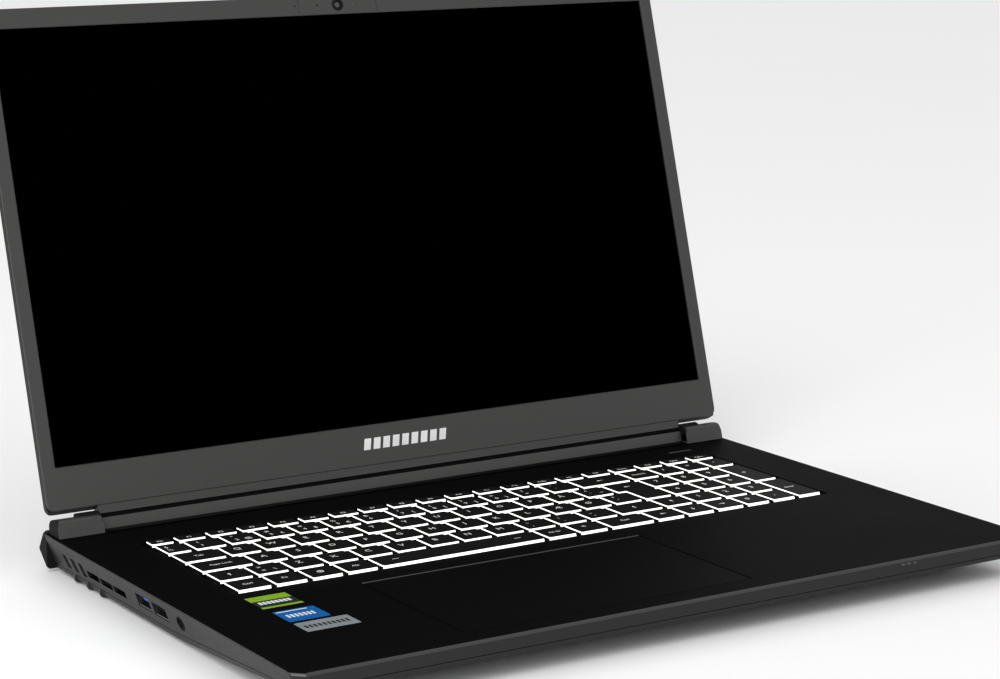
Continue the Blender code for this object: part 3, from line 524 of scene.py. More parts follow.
RECIPES = {
    # Case colour, lighter than the deck, which paints the light on the sides and the front of the base as
    # well as giving their own colour.
    "shell": lambda: moulded("case_plastic", colour("shell"), 0.46, 0.32 * MM, 0.03 * MM, gloss=0.25),
    "deck": lambda: moulded("deck_satin", colour("deck"), 0.60, 0.22 * MM, 0.012 * MM, 0.05, gloss=0.015),
    "pad": lambda: moulded(
        "touchpad_satin", shade(colour("deck"), 1.1), 0.57, 0.15 * MM, 0.006 * MM, 0.05, gloss=0.015
    ),
    "lid": lambda: moulded("lid_paint", colour("lid"), 0.42, 0.25 * MM, 0.014 * MM, 0.06, metallic=0.35),
    "back": lambda: moulded(
        "lid_back_paint", shade(colour("lid"), 0.3), 0.45, 0.25 * MM, 0.014 * MM, 0.06, gloss=0.1
    ),
    # Near-black finish that paints the shade inside the hinge cover's groove.
    "inside": lambda: moulded("dark_plastic", (0.004, 0.004, 0.004), 0.7, gloss=0.03),
    "screen": lambda: panel_glass("screen_film", colour("screen")),
    "cap": lambda: moulded("key_paint", colour("cap"), 0.55, 0.18 * MM, 0.012 * MM, 0.05, gloss=0.03),
    "light": lambda: glowing("key_light", colour("light"), 1.4),
    "plate": lambda: moulded("key_well", (0.004, 0.004, 0.0042), 0.5, gloss=0.2),
    "legend": lambda: glowing("legend_paint", colour("legend"), 1.8),
    "lamp": lambda: glowing("lamp_lens", (0.06, 0.06, 0.06), 0.1),
    # A lighter, half metallic finish that paints the highlight on the deck's top edges and on the touchpad
    # opening's rear rim.
    "edge": lambda: moulded("cut_edge", (0.05, 0.05, 0.05), 0.4, metallic=0.6),
    "steel": lambda: metal("stamped_steel", (0.16, 0.16, 0.17), 0.42),
    "copper": lambda: metal("drawn_copper", (0.72, 0.40, 0.25), 0.32),
    "gold": lambda: metal("gilt_contact", (0.80, 0.60, 0.25), 0.25),
    "circuit": lambda: circuit("circuit_board", (0.01, 0.07, 0.04)),
    "plastic": lambda: moulded(
        "moulded_plastic", (0.009, 0.009, 0.009), 0.6, 0.4 * MM, 0.03 * MM, gloss=0.05
    ),
    "rubber": lambda: moulded("foot_rubber", (0.012, 0.012, 0.012), 0.85, 0.6 * MM, 0.05 * MM),
    "blue": lambda: moulded("blue_plastic", (0.02, 0.12, 0.55), 0.35),
    "label_a": lambda: foil("upper_label", colour("label_a")),
    "label_b": lambda: foil("middle_label", colour("label_b")),
    "label_c": lambda: foil("lower_label", colour("label_c"), 0.3),
    "print_dark": lambda: foil("dark_print", (0.02, 0.025, 0.02)),
    "print_light": lambda: foil("light_print", (0.75, 0.78, 0.80)),
    "emblem": lambda: foil("emblem_paint", (0.78, 0.78, 0.78), 0.4),
    "glass": lambda: glass("lens_glass", (0.01, 0.01, 0.015)),
}


# ---- base


def half_width(height):
    return HALF + SIDE_TAPER * height / HEIGHT


def case_outline(height, front, grow, corner):
    """The base at one height; each front corner runs through the points of corner."""
    side = half_width(height) + grow
    points = [(side - inwards, front + backwards) for inwards, backwards in corner]
    points.append((side, DEPTH + MM))
    return rounded(points + [(-x, y) for x, y in reversed(points)], 0.8 * MM, 3)


def case_envelope():
    """The whole base with rounded edges, which trims the plain solids of the top and bottom case."""
    edge = sizes().edge
    upper = [
        (0.0, FRONT_EDGE + edge * 0.4, -edge),
        (-edge * 0.3, FRONT_EDGE - edge * 0.1, -edge * 0.3),
        (-edge, FRONT_EDGE - edge, 0.0),
        (-FRONT_EDGE, 0.1 * MM, 0.0),
        (-FRONT_EDGE - 0.4 * MM, 0.0, 0.0),
        (-FRONT_FACE, FRONT_EDGE / 2, 0.0),
    ]
    under = [
        (-HEIGHT + edge * 1.2, FRONT_UNDERCUT - 1.5 * MM, 0.0),
        (-HEIGHT + edge * 0.3, FRONT_UNDERCUT - 0.2 * MM, -edge * 0.3),
        (-HEIGHT, FRONT_UNDERCUT + edge, -edge),
    ]
    levels = [(z, case_outline(z, front, grow, UPPER_CORNER)) for z, front, grow in upper]
    levels += [(z, case_outline(z, front, grow, UNDER_CORNER)) for z, front, grow in under]
    return lofted(levels[::-1])


def mouth(low, high, flare, depth):
    """A cutter that chamfers the rim of an opening in the deck."""
    above = 0.2 * MM
    outline = rectangle(low.x, low.y, high.x, high.y)
    rows = [(-depth, 0.0), (above, flare * (1 + above / depth))]
    return layered(rows, outline, 0.4 * MM, 3)


def recess_tool():
    """The shallow step in the deck behind the keys, between the hinge pods."""
    inner = local_box("left_hinge_pod")[1].x - 0.3 * MM
    front, rear, slant = 239.0 * MM, 249.0 * MM, 4.0 * MM
    outline = [(inner + slant, front), (-inner - slant, front), (-inner, rear), (inner, rear)]
    rows = [(-0.55 * MM, -1.2 * MM), (0.3 * MM, 0.8 * MM)]
    return layered(rows, outline, 2.0 * MM, 3)


def deck_finish(face, pad_low, pad_high):
    """The finish of a face of the deck: 0 on top, 1, a painted highlight, on the rounded and chamfered top
    edges and the touchpad opening's rear rim, and 2, the case colour painted lighter than the top, on the
    outer walls.
    """
    middle = face.calc_center_median()
    outer = abs(middle.x) > half_width(middle.z) - 4 * MM or middle.y < 5 * MM
    if outer and face.normal.z < 0.9:
        # Outer walls get the case colour, lighter than the top as painted light on the sides; rounded top
        # edges get the painted highlight.
        return 1 if face.normal.z > 0.25 else 2
    # The rear rim of the touchpad opening gets the painted highlight as well.
    chamfer = -0.44 * MM < middle.z < -0.01 * MM and pad_low.x < middle.x < pad_high.x
    return 1 if chamfer and pad_high.y < middle.y < pad_high.y + MM else 0


def deck_piece():
    plate_low, plate_high = local_box("keyboard_plate")
    rim = Vector((1.5 * MM, 1.5 * MM, 0))
    pad_low, pad_high = local_box("touchpad")
    button_low, button_high = local_box("power_button")
    gap = Vector((0.4 * MM, 0.4 * MM, 0))
    tools = [
        mouth(plate_low + rim, plate_high - rim, 0.35 * MM, 0.5 * MM),
        mouth(pad_low - gap, pad_high + gap, 0.45 * MM, 0.45 * MM),
        mouth(button_low - gap, button_high + gap, 0.25 * MM, 0.4 * MM),
        recess_tool(),
    ]
    shape = carved(trimmed("palm_rest_deck", case_envelope()), tools)
    for face in shape.faces:
        face.material_index = deck_finish(face, pad_low, pad_high)
    piece("deck_top", shape, "base", ["deck", "edge", "shell"], ["palm_rest_deck"])


def screw(x, y, z):
    """A countersunk screw seen from below, with a cross recess."""
    arm, thin, depth = 1.2 * MM, 0.25 * MM, 0.45 * MM
    head = disc(2.1 * MM, 0, 0.9 * MM, 24, 0.25 * MM)
    for half_x, half_y in ((arm, thin), (thin, arm)):
        head = carved(head, [slab((-half_x, -half_y, depth), (half_x, half_y, 2 * MM))])
    return shifted(moved(head, Matrix.Rotation(math.pi, 4, "X")), x, y, z)


SCREWS = [(x * MM, y * MM) for y in (60, 236) for x in (-170, -85, 0, 85, 170)]
SCREWS += [(x * MM, 148 * MM) for x in (-178, -60, 60, 178)]
SCREW_WELL = 1.1 * MM
WALL_HOLE = (212.5 * MM, -7 * MM)


def bottom_piece():
    """The bottom case with screw wells, grilles and a small hole in the left wall."""
    floor = -HEIGHT
    below = floor - MM
    wells = [shifted(disc(2.7 * MM, below, floor + SCREW_WELL), x, y, 0) for x, y in SCREWS]
    for side in (-1, 1):
        start, end = sorted((side * 96 * MM, side * 132 * MM))
        for i in range(9):
            y = (44 + i * 2.6) * MM
            wells.append(slab((start, y, below), (end, y + 1.3 * MM, floor + 1.2 * MM)))
    for i in range(7):
        y = (166 + i * 7.5) * MM
        wells.append(slab((-84 * MM, y, below), (84 * MM, y + 1.4 * MM, floor + 0.7 * MM)))
    y, z = WALL_HOLE
    hole = moved(disc(1.3 * MM, -3 * MM, 3 * MM, 20), Matrix.Rotation(math.pi / 2, 4, "Y"))
    wells.append(shifted(hole, -half_width(z), y, z))
    shape = carved(trimmed("bottom_cover", case_envelope()), wells)
    piece("bottom_case", shape, "base", "shell", ["bottom_cover"])
    heads = joined([screw(x, y, floor + SCREW_WELL) for x, y in SCREWS])
    piece("bottom_screws", heads, "base", "steel")


def bump_pieces():
    """Saw-tooth bumps along the lower edges of the sides, behind the vents."""
    root, rise, fall = 2 * MM, 3 * MM, 10 * MM
    teeth = []
    for side in (-1, 1):
        for crest in (206 * MM, 221 * MM, 236 * MM):
            levels = []
            for z, proud in ((-18.6 * MM, 1.0 * MM), (-17.4 * MM, 1.5 * MM), (-14.5 * MM, 0.1 * MM)):
                wall = half_width(z)
                outline = [(wall - root, crest - rise), (wall + proud, crest), (wall - root, crest + fall)]
                levels.append((z, [(side * x, y) for x, y in outline]))
            teeth.append(lofted(levels))
    piece("side_bumps", joined(teeth), "base", "shell")


def exhaust_piece():
    """The rear housing with softened edges and slightly tapered ends."""
    low, high = local_box("rear_exhaust_housing")
    rear = DEPTH + 0.3 * MM
    outline = [(rear - MM, low.z), (rear + 0.5 * MM, low.z), (rear + 1.1 * MM, low.z + 0.3 * MM)]
    outline += [(high.y - 0.5 * MM, -9.9 * MM), (high.y - 0.1 * MM, -9.2 * MM)]
    outline += [(high.y - 0.35 * MM, -8.4 * MM), (rear + 3.9 * MM, high.z - 0.6 * MM)]
    outline += [(rear + 3.2 * MM, high.z - 0.02 * MM), (rear - MM, high.z)]
    centre = Vector((rear + 2 * MM, -7 * MM))
    reach, end = high.x, 1.2 * MM
    levels = []
    for x, scale in ((-reach, 0.9), (-reach + end, 1.0), (reach - end, 1.0), (reach, 0.9)):
        levels.append((x, [tuple(centre + (Vector(p) - centre) * scale) for p in outline]))
    shape = trimmed("rear_exhaust_housing", moved(lofted(levels), ALONG_X))
    piece("rear_housing", shape, "base", "plastic", ["rear_exhaust_housing"])


def fin_pieces():
    """Stacks of thin copper fins joined by the flat pipe."""
    low, high = local_box("heat_pipe_assembly")
    width, count, thin, pipe = 66 * MM, 44, 0.35 * MM, 1.2 * MM
    shapes = []
    for start in (low.x, high.x - width):
        for i in range(count):
            x = start + 0.4 * MM + i * (width - 0.8 * MM) / count
            shapes.append(slab((x, low.y, low.z), (x + thin, high.y, high.z)))
    middle = (low.z + high.z) / 2
    start, end = (low.x, low.y + MM, middle - pipe), (high.x, high.y - MM, middle + pipe)
    shapes.append(pillow(start, end, 0.4 * MM, 1.5 * MM))
    piece("heat_pipe_fins", joined(shapes), "base", "copper", ["heat_pipe_assembly"])


NECK_RADIUS = 6.6 * MM
NECK_WIDTH = 11 * MM


def hinge_neck(word, low, high, inner, side):
    """The dark barrel between a pod and the hinge cover."""
    neck = []
    for k in range(1, 18):
        angle = math.pi * k / 18
        y, z = NECK_RADIUS * math.cos(angle), NECK_RADIUS * math.sin(angle)
        if AXIS.y + y < high.y:
            neck.append((AXIS.y + y, AXIS.z + z))
    neck += [(neck[-1][0], low.z + MM), (neck[0][0], low.z + MM)]
    start, end = sorted((inner, inner + side * NECK_WIDTH))
    piece(word + "_hinge_neck", across(neck, start, end), "base", "plastic")


def pod_pieces():
    """The hinge pods with bevelled tops and outer ends painted dark as shade, and their necks."""
    edge = 1.1 * MM
    for word, side in (("left", -1), ("right", 1)):
        node = word + "_hinge_pod"
        low, high = local_box(node)
        rows = [(low.z, 0.0), (low.z + 4.6 * MM, 0.0), (high.z - 0.5 * MM, -edge * 0.9)]
        rows.append((high.z + 0.01 * MM, -edge * 1.5))
        outline = rectangle(low.x, low.y - 2 * MM, high.x, high.y + 2 * MM)
        shape = trimmed(node, layered(rows, outline, 1.2 * MM, 3))
        # The outer end faces get the dark plastic finish as painted shade, where each end lies in shadow.
        for face in shape.faces:
            if face.normal.x * side > 0.45:
                face.material_index = 1
        piece(word + "_pod", shape, "base", ["lid", "plastic"], [node])
        hinge_neck(word, low, high, low.x if side > 0 else high.x, side)


def label(name, low, high, films, prints):
    """A thin film on the palm rest with plain printed bars; each bar is a share of the label's box."""
    (x0, y0), (x1, y1) = low, high
    shapes = [pillow((x0, y0, 0.02 * MM), (x1, y1, 0.14 * MM), 0.03 * MM, 0.8 * MM)]
    for left, front, right, rear, index in prints:
        start = (x0 + (x1 - x0) * left, y0 + (y1 - y0) * front, 0.13 * MM)
        end = (x0 + (x1 - x0) * right, y0 + (y1 - y0) * rear, 0.155 * MM)
        shapes.append(marked(slab(start, end), index))
    piece(name, joined(shapes), "base", films, smooth=20)


def bars(count, start, pitch, width, front, rear, index):
    """A row of printed bars, as shares of a label's box."""
    lefts = [start + pitch * i for i in range(count)]
    return [(left, front, left + width, rear, index) for left in lefts]


def label_pieces():
    prints = [(0.0, 0.64, 1.0, 1.0, 1), (0.0, 0.02, 1.0, 0.14, 1)]
    prints += bars(8, 0.10, 0.1, 0.075, 0.34, 0.54, 2)
    films = ["print_dark", "label_a", "print_light"]
    label("upper_label", (-167 * MM, 90 * MM), (-147 * MM, 109 * MM), films, prints)
    prints = bars(7, 0.14, 0.1, 0.06, 0.34, 0.60, 1) + [(0.05, 0.86, 0.8, 0.92, 1)]
    label("middle_label", (-166 * MM, 67 * MM), (-146 * MM, 84 * MM), ["label_b", "print_light"], prints)
    prints = bars(10, 0.08, 0.085, 0.05, 0.34, 0.64, 1)
    label("lower_label", (-166 * MM, 50.5 * MM), (-140 * MM, 64 * MM), ["label_c", "print_dark"], prints)


def lamp_pieces():
    """Three small lamps in the front face and the light of the power button."""
    shapes = []
    for x in (117 * MM, 120.5 * MM, 124 * MM):
        start, end = (x, -0.12 * MM, -2.6 * MM), (x + 2.0 * MM, 0.3 * MM, -1.8 * MM)
        shapes.append(pillow(start, end, 0.05 * MM, 0.3 * MM))
    piece("front_lamps", joined(shapes), "base", "lamp")
    low, high = local_box("power_button")
    middle = (low.y + high.y) / 2
    start = (low.x + 0.5 * MM, middle - 0.45 * MM, high.z - 0.1 * MM)
    end = (high.x - 0.5 * MM, middle + 0.45 * MM, high.z + 0.06 * MM)
    piece("power_lamp", pillow(start, end, 0.04 * MM, 0.4 * MM), "power_button", "lamp")


USB_SOCKETS = {"usb_socket_rear": "blue", "usb_socket_front": "plastic", "usb_socket_right": "plastic"}
CONTACTS = 4
CONTACT_WIDTH = 1.1 * MM
CONTACT_MARGIN = 2.8 * MM


def socket_pieces(node, look):
    """The tongue and contacts of a USB socket."""
    low, high = local_box(node)
    side = 1 if high.x > 0 else -1
    face = high.x if side > 0 else low.x
    middle = (low.z + high.z) / 2
    inner, outer = sorted((face - side * 11.2 * MM, face - side * 1.1 * MM))
    start = (inner, low.y + 1.4 * MM, middle - 0.2 * MM)
    end = (outer, high.y - 1.4 * MM, middle + 1.7 * MM)
    piece(node + "_tongue", pillow(start, end, 0.1 * MM, 0.3 * MM), "base", look)
    contacts = []
    pitch = (high.y - low.y - 2 * CONTACT_MARGIN - CONTACT_WIDTH) / (CONTACTS - 1)
    for i in range(CONTACTS):
        y = low.y + CONTACT_MARGIN + i * pitch
        start = (inner + 1.5 * MM, y, middle - 0.35 * MM)
        end = (outer - 0.8 * MM, y + CONTACT_WIDTH, middle - 0.16 * MM)
        contacts.append(slab(start, end))
    piece(node + "_contacts", joined(contacts), "base", "gold")


def port_pieces():
    """Frames, tongues, contacts and rings of the sockets in the walls."""
    for node, look in USB_SOCKETS.items():
        socket_pieces(node, look)
    low, high = local_box("headset_socket")
    centre = (low + high) / 2
    lean = math.atan2(SIDE_TAPER, HEIGHT)
    ring = tube(3.6 * MM, 2.9 * MM, -0.25 * MM, 0.15 * MM)
    ring = moved(ring, Matrix.Rotation(-math.pi / 2 - lean, 4, "Y"))
    ring = shifted(ring, -half_width(centre.z), centre.y, centre.z)
    piece("headset_ring", ring, "base", "plastic")
    for node in (*USB_SOCKETS, "video_socket", "usb_c_socket"):
        dress(node, "steel")
    for node in ("headset_socket", "power_inlet"):
        dress(node, "plastic")
    low, high = local_box("power_inlet")
    centre = (low + high) / 2
    pin = moved(disc(0.6 * MM, 0, 8 * MM, 16, 0.2 * MM), Matrix.Rotation(-math.pi / 2, 4, "X"))
    pin = shifted(pin, centre.x, high.y - 10 * MM, centre.z + 1.6 * MM)
    piece("power_pin", pin, "base", "gold")


def dress(node, look):
    """Gives a CAD node whose shape is right its finish."""
    thing = NODES[node]
    thing.data.materials.clear()
    thing.data.materials.append(finish(look))


def inside_pieces():
    """Finishes of the inner parts, and the two rubber feet."""
    for word in ("left", "right"):
        for part in ("hinge_bracket", "hinge_leaf"):
            dress(f"{word}_{part}", "steel")
        for part in ("fan_housing", "fan_rotor", "speaker"):
            dress(f"{word}_{part}", "plastic")
    dress("battery_pack", "plastic")
    for node in ("mainboard", "solid_state_drive", "memory_module"):
        dress(node, "circuit")
    for node in ("front_foot", "rear_foot"):
        shape = pillow(*local_box(node), 0.5 * MM, 3.0 * MM, 4)
        piece(node + "_pad", shape, "base", "rubber", [node])
    dress("keyboard_plate", "plate")


# ---- keys


LEGENDS = {
    "keys_bottom_left": ["Ctrl", "Fn", "<>", "Alt"],
    "key_space": [""],
    "keys_bottom_right": ["Alt Gr", "=", "Ctrl"],
    "key_arrow_left": ["<-"],
    "key_arrow_down": ["v"],
    "key_arrow_right": ["->"],
    "key_arrow_up": ["^"],
    "keys_lower_letter_row": ["^", "<|>|\\", "Z", "X", "C", "V", "B", "N", "M", ",|;", ".|:", "-|_"],
    "key_right_shift": ["^"],
    "keys_home_letter_row": ["Caps Lock", *"ASDFGHJKL", "Æ", "Ø", "'|*"],
    "keys_upper_letter_row": ["Tab", *"QWERTYUIOP", "Å", "¨|^|~"],
    "keys_number_row": [
        "½|§", "1|!", '2|"|@', "3|#|£", "4|¤|$", "5|%|€", "6|&", "7|/|{", "8|(|[", "9|)|]", "0|=|}",
        "+|?", "´|`",
    ],
    "key_backspace": ["<-"],
    "key_enter": ["<-"],
    "keys_function_row": [
        "Esc", *(f"F{i}" for i in range(1, 13)), "PrtSc", "Ins", "Del", "Home", "End", "PgUp", "PgDn"
    ],
    "keys_numpad_top": ["NumLk", "/", "*", "-"],
    "keys_numpad_789": ["7", "8", "9"],
    "keys_numpad_456": ["4", "5", "6"],
    "keys_numpad_123": ["1", "2", "3"],
    "keys_numpad_zero_point": ["0", ","],
    "key_numpad_enter": ["Enter"],
    "key_numpad_plus": ["+"],
}


def caps_of(node):
    """Outlines of the cap tops in a key node, from left to right, and their height."""
    points = local_points(node)
    top = max(p.z for p in points)
    upper = [p for p in points if p.z > top - 0.1 * MM]
    rows = sorted({round(p.y, 6) for p in upper})
    columns = sorted({round(p.x, 6) for p in upper})
    front, rear = rows[0], rows[-1]
    if node == "key_enter":
        low, step, right = columns
        outline = [(step, front), (right, front), (right, rear), (low, rear)]
        return [outline + [(low, rows[1]), (step, rows[1])]], top
    return [rectangle(a, front, b, rear) for a, b in zip(columns[::2], columns[1::2])], top


FRONT_LIGHT = 1.5 * MM
SIDE_LIGHT = 0.75 * MM
LEGEND_LAYER = 2


def cap_shape(outline, top):
    """A key cap: sides lit below the rim, deeper at the front, and a painted top with a slight dish."""
    skirt = sizes().cap_skirt
    rows = [(top - 2.2 * MM, skirt), (top - FRONT_LIGHT, skirt * 0.8), (top - SIDE_LIGHT, skirt * 0.4)]
    rows += [(top - 0.16 * MM, 0.0), (top - 0.03 * MM, -0.10 * MM), (top, -0.28 * MM)]
    rows += [(top - 0.05 * MM, -1.6 * MM)]
    shape = layered(rows, outline, sizes().cap_corner, 3)
    front = min(y for _, y in outline)
    for face in shape.faces:
        middle = face.calc_center_median()
        reach = FRONT_LIGHT if middle.y < front + 0.1 * MM else SIDE_LIGHT
        lit = top - reach < middle.z < top - 0.15 * MM
        face.material_index = 1 if lit else 0
    return shape


def glyph(text, size):
    """A printed mark as a thin solid, centred on its own middle."""
    curve = bpy.data.curves.new("glyph", "FONT")
    curve.body = text
    curve.size = size
    curve.align_x = "CENTER"
    curve.align_y = "CENTER"
    curve.extrude = sizes().legend_depth / 2
    curve.resolution_u = 2
    holder = placed("glyph", curve)
    bpy.context.view_layer.update()
    mesh = holder.evaluated_get(bpy.context.evaluated_depsgraph_get()).to_mesh()
    shape = bmesh.new()
    shape.from_mesh(mesh)
    bpy.data.objects.remove(holder)
    bpy.data.curves.remove(curve)
    return marked(shape, LEGEND_LAYER)


def arrow(angle, size):
    """A plain arrow mark."""
    outline = [(-0.5, -0.06), (0.05, -0.06), (0.05, -0.25), (0.5, 0.0)]
    outline += [(x, -y) for x, y in outline[2::-1]]
    depth = sizes().legend_depth / 2
    shape = lofted([(z, [(x * size, y * size) for x, y in outline]) for z in (-depth, depth)])
    return marked(moved(shape, Matrix.Rotation(math.radians(angle), 4, "Z")), LEGEND_LAYER)


def ring_mark(size):
    """A plain mark of a ring with a dot."""
    depth = sizes().legend_depth / 2
    shapes = [tube(size, size * 0.62, -depth, depth, 20), disc(size * 0.3, -depth, depth, 12)]
    return marked(joined(shapes), LEGEND_LAYER)


def bar_mark(width):
    """A short plain bar that starts at its own left end."""
    return marked(slab((0, -0.2 * MM, -0.01 * MM), (width, 0.2 * MM, 0.01 * MM)), LEGEND_LAYER)


ARROWS = {"<-": 180, "->": 0, "^": 90, "v": 270}
MARK_SPOTS = [(-2.6 * MM, -2.8 * MM), (-2.6 * MM, 2.6 * MM), (3.2 * MM, -2.8 * MM)]
LOW_KEY = 9 * MM
ENTER_WIDTH = 19 * MM


def legend_size(text, low_key):
    """Height of a word's or letter's print: smaller on low keys and for long words."""
    if low_key:
        return 2.9 * MM if len(text) < 3 else 2.3 * MM
    if len(text) == 1:
        return 4.8 * MM
    return 3.1 * MM if len(text) < 5 else 2.7 * MM


def legend_shapes(text, outline, top):
    """Marks of one cap, laid on its top."""
    left, right = min(x for x, _ in outline), max(x for x, _ in outline)
    front, rear = min(y for _, y in outline), max(y for _, y in outline)
    x, y = (left + right) / 2, (front + rear) / 2
    level = top - 0.05 * MM + sizes().legend_depth / 2
    if text in ARROWS:
        if right - left > ENTER_WIDTH and text == "<-":
            y = rear - 8.0 * MM
        return [shifted(arrow(ARROWS[text], 3.6 * MM), x, y, level)]
    if text == "<>":
        return [shifted(ring_mark(1.7 * MM), x, y, level)]
    if not text:
        starts = [left + (right - left) * share for share in (0.10, 0.86)]
        return [shifted(bar_mark(3.6 * MM), start, y, level) for start in starts]
    marks = text.split("|")
    if len(marks) > 1:
        spots = zip(marks, MARK_SPOTS)
        return [shifted(glyph(mark, 3.9 * MM), x + dx, y + dy, level) for mark, (dx, dy) in spots]
    low_key = rear - front < LOW_KEY
    shift = 0.8 * MM if len(text) == 1 and not low_key else 0.0
    return [shifted(glyph(text, legend_size(text, low_key)), x - shift, y + shift, level)]


def key_pieces():
    for node, texts in LEGENDS.items():
        shapes = []
        outlines, top = caps_of(node)
        for outline, text in zip(outlines, texts, strict=True):
            shapes.append(cap_shape(outline, top))
            shapes += legend_shapes(text, outline, top)
        looks = ["cap", "light", "legend"]
        piece(node + "_caps", joined(shapes), node, looks, [node], smooth=30)


def touch_pieces():
    """The touchpad surface and the power key."""
    shape = pillow(*local_box("touchpad"), 0.15 * MM, 1.0 * MM)
    piece("touch_surface", shape, "touchpad", "pad", ["touchpad"])

    shape = pillow(*local_box("power_button"), 0.25 * MM, 0.8 * MM)
    piece("power_key", shape, "power_button", "plastic", ["power_button"])


# ---- lid


def lid_envelope(low, high, edge_back, edge_front):
    """The lid's block with rounded corners in front view and rounded edges at its back and front."""
    outline = rectangle(low.x, low.y, high.x, high.y)
    curve = ((0, 1), (0.15, 0.45), (0.5, 0.12), (1, 0))
    rows = [(low.z + edge_back * up, -edge_back * inset) for up, inset in curve]
    rows.append((high.z - edge_front, 0.0))
    rows += [(high.z - edge_front * 0.3, -edge_front * 0.3), (high.z + 0.001 * MM, -edge_front)]
    return layered(rows, outline, sizes().lid_corner, 6)


SCREEN_BORDER = 2.0 * MM
SCREEN_FOOT = 5.0 * MM
HARD_EDGE = 0.05 * MM


def lid_pieces():
    """The lid's back, the bezel with its chamfered opening and small holes, and the camera."""
    low, high = local_box("lid_back_cover", LID)
    shape = trimmed("lid_back_cover", lid_envelope(low, high, 1.4 * MM, HARD_EDGE), LID)
    piece("lid_shell", shape, "lid", "back", ["lid_back_cover"])
    low, high = local_box("screen_bezel", LID)
    face = high.z
    panel_low, panel_high = local_box("display_panel", LID)
    left, right = panel_low.x + SCREEN_BORDER, panel_high.x - SCREEN_BORDER
    upper = panel_high.y - SCREEN_BORDER
    opening = rectangle(left, panel_low.y + SCREEN_FOOT, right, upper)
    rows = [(face - 0.5 * MM, -0.02 * MM), (face + 0.1 * MM, 0.58 * MM)]
    tools = [layered(rows, opening, 0.3 * MM, 2)]
    level = (upper + high.y) / 2
    above = face + MM
    for x in (-25 * MM, -12 * MM):
        tools.append(shifted(disc(0.55 * MM, face - 0.7 * MM, above, 16), x, level, 0))
    for x in (-23 * MM, 23 * MM):
        start = (x - 0.12 * MM, high.y - 9.2 * MM, face - 0.2 * MM)
        tools.append(slab(start, (x + 0.12 * MM, high.y + MM, above)))
    shape = trimmed("screen_bezel", lid_envelope(low, high, HARD_EDGE, 0.35 * MM), LID)
    piece("bezel_frame", carved(shape, tools), "lid", "lid", ["screen_bezel"])
    dress("display_panel", "screen")
    dress("webcam_module", "plastic")
    lens_pieces(face, level)
    emblem_piece(face)


def lens_pieces(face, level):
    """The camera's ring and lens dome, and its lamp."""
    top = local_box("webcam_module", LID)[1].z
    ring = shifted(tube(3.2 * MM, 1.9 * MM, top - 0.1 * MM, face + 0.22 * MM, 36), 0, level, 0)
    piece("lens_ring", ring, "lid", "plastic")
    radius, rise, foot = 1.6 * MM, 0.35 * MM, top - 0.05 * MM
    arc = ((0.0, 1.0), (0.5, 0.86), (0.85, 0.5), (1.0, 0.12))
    dome = lofted([(foot + rise * up, circle(radius * out, 24)) for up, out in arc])
    piece("lens_dome", shifted(dome, 0, level, 0), "lid", "glass")
    lamp_disc = disc(0.5 * MM, face - 0.1 * MM, face + 0.05 * MM, 16)
    piece("webcam_lamp", shifted(lamp_disc, 9 * MM, level, 0), "lid", "lamp")


def emblem_piece(face):
    """A plain mark of slanted bars in the middle below the screen."""
    low, high, width, slant = 16.8 * MM, 22.6 * MM, 3.9 * MM, 1.3 * MM
    shapes = []
    for i in range(9):
        x = (-24 + i * 5.6) * MM
        outline = [(x, low), (x + width, low), (x + width + slant, high), (x + slant, high)]
        shapes.append(lofted([(face + 0.01 * MM, outline), (face + 0.09 * MM, outline)]))
    piece("chin_emblem", joined(shapes), "lid", "emblem")


def hinge_bar_piece():
    """The hinge cover with softened ends; the faces of the groove along it are painted dark as shade."""
    low, high = local_box("hinge_bar_cover", LID)
    edge = 0.5 * MM
    rows = [(low.x, -edge), (low.x + edge, 0.0), (high.x - edge, 0.0), (high.x, -edge)]
    outline = rectangle(low.y, low.z, high.y, high.z)
    body = layered(rows, outline, edge, 2)
    shape = trimmed("hinge_bar_cover", moved(body, ALONG_X), LID)
    # Faces in the groove get the near-black finish as painted shade, where the groove lies in shadow.
    for face in shape.faces:
        middle = face.calc_center_median()
        if 2.4 * MM < middle.y < 4.72 * MM and 0.6 * MM < middle.z < high.z - 0.1 * MM:
            face.material_index = 1
    piece("hinge_bar", shape, "lid", ["lid", "inside"], ["hinge_bar_cover"])


# ---- stage


CAMERA_PLACE = (-0.6657, -1.0790, 0.3528)
CAMERA_AHEAD = Vector((0.52559, 0.82800, -0.19538))
CAMERA_RIGHT = Vector((0.84391, -0.53647, -0.00330))
LENS = 95.9
SENSOR = 36.0
SHIFT = (-0.0317, 0.0187)


def camera():
    ahead = CAMERA_AHEAD.normalized()
    right = (CAMERA_RIGHT - ahead * CAMERA_RIGHT.dot(ahead)).normalized()
    up = right.cross(ahead)
    data = bpy.data.cameras.new("view")
    data.lens = LENS
    data.sensor_width = SENSOR
    data.shift_x, data.shift_y = SHIFT
    data.clip_start = 0.01
    data.clip_end = 50.0
    thing = placed("view", data)
    turn = Matrix((right, up, -ahead)).transposed().to_4x4()
    thing.matrix_world = Matrix.Translation(CAMERA_PLACE) @ turn
    bpy.context.scene.camera = thing


def floor():
    """A pale flat floor, which reaches far behind the object."""
    shape = bmesh.new()
    bmesh.ops.create_grid(shape, x_segments=1, y_segments=1, size=30.0)
    thing = thing_from(shape, "studio_floor")
    paper = Finish("studio_paper", Roughness=0.9, Specular_IOR_Level=0.1)
    grain = paper.noise(0.4, 2.0)
    paper.set("Base Color", paper.blend(grain, (0.95, 0.95, 0.95), (0.97, 0.97, 0.97)))
    thing.data.materials.append(paper.material)


def lamp(name, place, target, size, power):
    data = bpy.data.lights.new(name, "AREA")
    data.shape = "RECTANGLE"
    data.size, data.size_y = size
    data.energy = power
    thing = placed(name, data)
    thing.location = place
    thing.rotation_mode = "QUATERNION"
    thing.rotation_quaternion = (Vector(target) - Vector(place)).to_track_quat("-Z", "Y")


